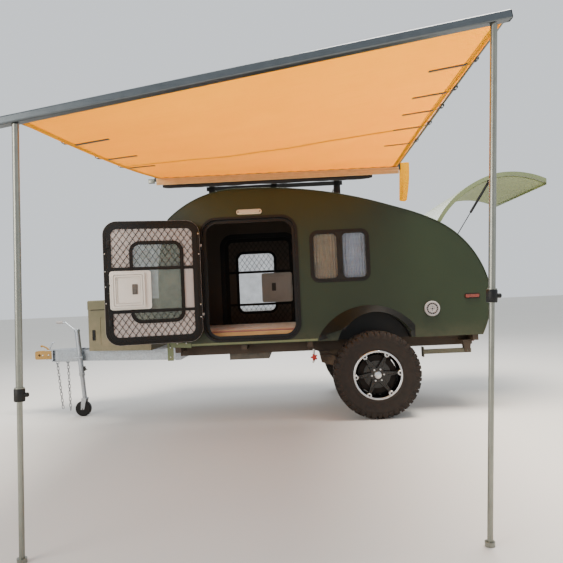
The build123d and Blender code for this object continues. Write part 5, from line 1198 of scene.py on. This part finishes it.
def quilt_height(x, y, pitch, depth):
    """How much lower a quilted face is at a place: depth times a sharp ridge of |cos| along both
    slanting lines of stitching."""
    first = np.abs(np.cos(PI * (x + y) / pitch))
    second = np.abs(np.cos(PI * (x - y) / pitch))
    return depth * np.maximum(first, second) ** 10


def make_mattress():
    """The mattress: foam in quilted ticking, its sides bulging by 8 mm, its top eased over 22 mm at the
    edge and crowned by 18 mm, with piping round its upper and lower edges. A rounded rectangle's ring is
    carried from the bottom to the top and then inwards to the middle."""
    low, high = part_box("mattress")
    low, high = np.array(low) - AXLE, np.array(high) - AXLE
    middle = (low + high) / 2
    long, wide, tall = high - low
    ring_xy = round_rect(long - 0.016, wide - 0.016, 0.06, 14)
    fine = []
    for a, b in zip(ring_xy, np.roll(ring_xy, -1, 0)):
        steps = max(1, int(np.ceil(np.linalg.norm(b - a) / 0.022)))
        fine.append(a + (b - a) * np.linspace(0, 1, steps, endpoint=False)[:, None])
    ring_xy = np.vstack(fine)
    outward = unit(ring_xy * (wide / long, long / wide))
    side_levels = np.linspace(0, 1, 12)
    bulge = 0.008 * np.sin(PI * side_levels) ** 0.6
    rows = [np.column_stack([ring_xy + outward * b, np.full(len(ring_xy), middle[2] - tall / 2
                                                            + 0.004 + s * (tall - 0.03))])
            for s, b in zip(side_levels, bulge)]
    for inward in np.linspace(0.0, 1.0, 46)[1:]:
        net = ring_xy * (1 - inward)
        edge = np.minimum(1.0, inward / 0.04)
        crown = 0.022 * np.sqrt(np.clip(1 - (1 - edge) ** 2, 0, 1))
        height = middle[2] + tall / 2 - 0.026 + crown + 0.018 * np.sin(PI * inward / 2) \
            - quilt_height(net[:, 0], net[:, 1], 0.16, 0.006) * edge
        rows.append(np.column_stack([net, height]))
    points = np.stack(rows) + (middle[0], middle[1], 0)
    shape = grid(points, wrap_v=True, caps=True)
    net_uv = points[..., :2].copy()
    climb = (points[..., 2] - low[2])[:12]
    net_uv[:12, :, 1] += climb * np.sign(ring_xy[:, 1])
    net_uv[:12, :, 0] += 0.3 * climb
    pad = piece("mattress_quilted", shape, "trailer", "mattress_ticking_woven",
                uv=np.vstack([net_uv.reshape(-1, 2), net_uv[0, :1], net_uv[-1, :1]]), sharp=70)
    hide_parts("mattress")
    pipes = []
    for height in (low[2] + 0.01, high[2] - 0.018):
        path = np.column_stack([ring_xy + outward * 0.003, np.full(len(ring_xy), height)])
        pipes.append(sweep(ring(0.0065, 10), path + (middle[0], middle[1], 0), closed=True))
    shape = together(pipes)
    piece("mattress_piping", shape, "trailer", "mattress_piping_woven",
          uv=shape[0][:, :2] * 0.5)


# The stage

def make_stage(sizes):
    """A pale floor of 120 m, a pale sky dome's light, four soft lamps and the camera."""
    u, v = unit_net(41, 41)
    floor_net = np.stack([u * 120 - 60, v * 120 - 60, np.full_like(u, GROUND - 0.0005)], -1)
    tree, shader, place = start("floor_paper", Roughness=0.95)
    drift = node(tree, "TexNoise", Vector=place, Scale=0.6, Detail=4.0)
    feed(tree, shader, Base_Color=node(tree, "Mix", {"data_type": "RGBA"}, _0=drift,
                                       _6="#D6D3CC", _7="#DEDBD5").outputs[2])
    mesh = bpy.data.meshes.new("floor")
    vertices, faces = grid(floor_net)
    mesh.from_pydata((vertices + AXLE).tolist(), [], faces)
    mesh.materials.append(bpy.data.materials["floor_paper"])
    floor = bpy.data.objects.new("floor", mesh)
    bpy.context.scene.collection.objects.link(floor)

    world = bpy.data.worlds.new("pale_sky")
    world.use_nodes = True
    sky = world.node_tree.nodes["Background"]
    sky.inputs["Color"].default_value = (*colour("#E6EBF0"), 1.0)
    sky.inputs["Strength"].default_value = sizes.sky_strength
    bpy.context.scene.world = world

    for name, place, target, power, size, tint in (
            ("key", (-6.0, -7.5, 2.8), (-0.8, -0.8, 1.0), 330.0, 4.0, "#FFF7EC"),
            ("fill", (5.5, -7.0, 2.6), (0.0, -0.5, 1.0), 25.0, 4.0, "#EAF1FF"),
            ("over", (0.5, -1.8, 6.5), (-0.7, -1.9, 1.0), 1000.0, 3.5, "#FFF6EA"),
            ("behind", (-1.0, 6.0, 4.5), (-0.5, 0.5, 1.2), 220.0, 4.0, "#F4F6FF")):
        data = bpy.data.lights.new(name, "AREA")
        data.shape = "DISK"
        data.size = size
        data.energy = power
        data.color = colour(tint)
        lamp = bpy.data.objects.new(name, data)
        start_at, aim = Vector(place) + Vector(AXLE), Vector(target) + Vector(AXLE)
        lamp.location = start_at
        lamp.rotation_euler = (aim - start_at).to_track_quat("-Z", "Y").to_euler()
        bpy.context.scene.collection.objects.link(lamp)

    # The camera stands 6 m out on the near side and 1.1 m up, turned by yaw, tilted up and rolled
    yaw, tilt, roll = np.radians((-1.25, 1.54, -2.56))
    forward = Vector((np.sin(yaw) * np.cos(tilt), np.cos(yaw) * np.cos(tilt), np.sin(tilt)))
    right = Vector((np.cos(yaw), -np.sin(yaw), 0.0))
    up = right.cross(forward)
    right, up = (np.cos(roll) * right + np.sin(roll) * up, -np.sin(roll) * right + np.cos(roll) * up)
    lens = bpy.data.cameras.new("camera")
    lens.lens = sizes.camera_lens
    lens.sensor_width = 36.0
    lens.sensor_fit = "HORIZONTAL"
    camera = bpy.data.objects.new("camera", lens)
    camera.matrix_world = Matrix.Translation(Vector((-0.673, -6.083, 1.085)) + Vector(AXLE)) \
        @ Matrix((right, up, -forward)).transposed().to_4x4()
    bpy.context.scene.collection.objects.link(camera)
    bpy.context.scene.camera = camera


# The add-on

def dress_nodes():
    """Gives every CAD node the finish that its material slot names."""
    slot_of = {part["node"]: part["material_slot"] for part in frame["record"]["subparts"]}
    for name, thing in frame["nodes"].items():
        finish = bpy.data.materials[FINISH_OF_NODE.get(name, FINISH_OF_SLOT[slot_of[name]])]
        for place in thing.material_slots:
            place.material = finish


class TrailerSizes(bpy.types.PropertyGroup):
    """Sizes of the trailer's dressing that a user may change."""
    canopy_sag: FloatProperty(name="Canopy sag", description="How far the sheet hangs at its low end",
                              default=0.055, min=0.0, max=0.2, unit="LENGTH")
    tread_blocks: IntProperty(name="Tread blocks", description="Tread blocks in a row round a tyre",
                              default=22, min=12, max=48)
    sky_strength: FloatProperty(name="Sky strength", description="Brightness of the pale surroundings",
                                default=1.15, min=0.0, max=5.0)
    camera_lens: FloatProperty(name="Lens", description="Focal length on a 36 mm frame, in millimetres",
                               default=38.46, min=10.0, max=200.0)


def shade_property(label, code):
    """A colour that a user may change, from its sRGB code."""
    return FloatVectorProperty(name=label, description=f"{label}, as its paint or cloth",
                               subtype="COLOR", size=3, min=0.0, max=1.0, default=colour(code))


class TrailerShades(bpy.types.PropertyGroup):
    """Colours of the trailer that a user may change."""
    __annotations__ = {key: shade_property(*value) for key, value in SHADES.items()}


class TRAILER_OT_finishes(bpy.types.Operator):
    """Makes every finish and gives each carried-over part its own"""
    bl_idname = "trailer.finishes"
    bl_label = "Finishes"

    def execute(self, context):
        shades = context.scene.trailer_shades
        make_finishes({key: tuple(getattr(shades, key)) for key in SHADES})
        dress_nodes()
        return {"FINISHED"}


class TRAILER_OT_canopy(bpy.types.Operator):
    """Stretches the canopy from the case to the front rail, with its seams, straps and fittings"""
    bl_idname = "trailer.canopy"
    bl_label = "Canopy"

    def execute(self, context):
        make_canopy(context.scene.trailer_sizes.canopy_sag)
        make_awning_fittings()
        return {"FINISHED"}


class TRAILER_OT_soft_goods(bpy.types.Operator):
    """Makes the awning's bag and the quilted mattress"""
    bl_idname = "trailer.soft_goods"
    bl_label = "Bag and mattress"

    def execute(self, context):
        make_awning_bag()
        make_mattress()
        return {"FINISHED"}


class TRAILER_OT_wheels(bpy.types.Operator):
    """Makes the lugged tyres and the bright parts of the rims"""
    bl_idname = "trailer.wheels"
    bl_label = "Wheels"

    def execute(self, context):
        make_tyres(context.scene.trailer_sizes.tread_blocks)
        make_wheel_trim()
        return {"FINISHED"}


class TRAILER_OT_doors(bpy.types.Operator):
    """Makes what the doors, windows and walls carry, from seals and locks to curtains and lamp rims"""
    bl_idname = "trailer.doors"
    bl_label = "Doors and windows"

    def execute(self, context):
        make_door_furniture()
        make_window_dressing()
        make_body_trim()
        return {"FINISHED"}


class TRAILER_OT_chassis(bpy.types.Operator):
    """Makes the chains' links, the coil springs and the fittings of the drawbar and the front box"""
    bl_idname = "trailer.chassis"
    bl_label = "Chassis and drawbar"

    def execute(self, context):
        make_chains()
        make_springs()
        make_drawbar_fittings()
        make_box_fittings()
        return {"FINISHED"}


class TRAILER_OT_stage(bpy.types.Operator):
    """Lays the pale floor and sets the light and the camera"""
    bl_idname = "trailer.stage"
    bl_label = "Stage"

    def execute(self, context):
        make_stage(context.scene.trailer_sizes)
        return {"FINISHED"}


STEPS = (TRAILER_OT_finishes, TRAILER_OT_canopy, TRAILER_OT_soft_goods, TRAILER_OT_wheels,
         TRAILER_OT_doors, TRAILER_OT_chassis, TRAILER_OT_stage)


class TRAILER_PT_panel(bpy.types.Panel):
    """The trailer's sizes, colours and steps in the sidebar"""
    bl_idname = "TRAILER_PT_panel"
    bl_label = "Teardrop Trailer"
    bl_space_type = "VIEW_3D"
    bl_region_type = "UI"
    bl_category = "Trailer"

    def draw(self, context):
        for group in (context.scene.trailer_sizes, context.scene.trailer_shades):
            box = self.layout.box()
            for key in group.__annotations__:
                box.prop(group, key)
        for step in STEPS:
            self.layout.operator(step.bl_idname)


CLASSES = (TrailerSizes, TrailerShades, *STEPS, TRAILER_PT_panel)


def register():
    for item in CLASSES:
        bpy.utils.register_class(item)
    bpy.types.Scene.trailer_sizes = PointerProperty(type=TrailerSizes)
    bpy.types.Scene.trailer_shades = PointerProperty(type=TrailerShades)


def unregister():
    del bpy.types.Scene.trailer_shades
    del bpy.types.Scene.trailer_sizes
    for item in reversed(CLASSES):
        bpy.utils.unregister_class(item)


def main():
    register()
    for step in STEPS:
        family, action = step.bl_idname.split(".")
        getattr(getattr(bpy.ops, family), action)()


if __name__ == "__main__":
    main()
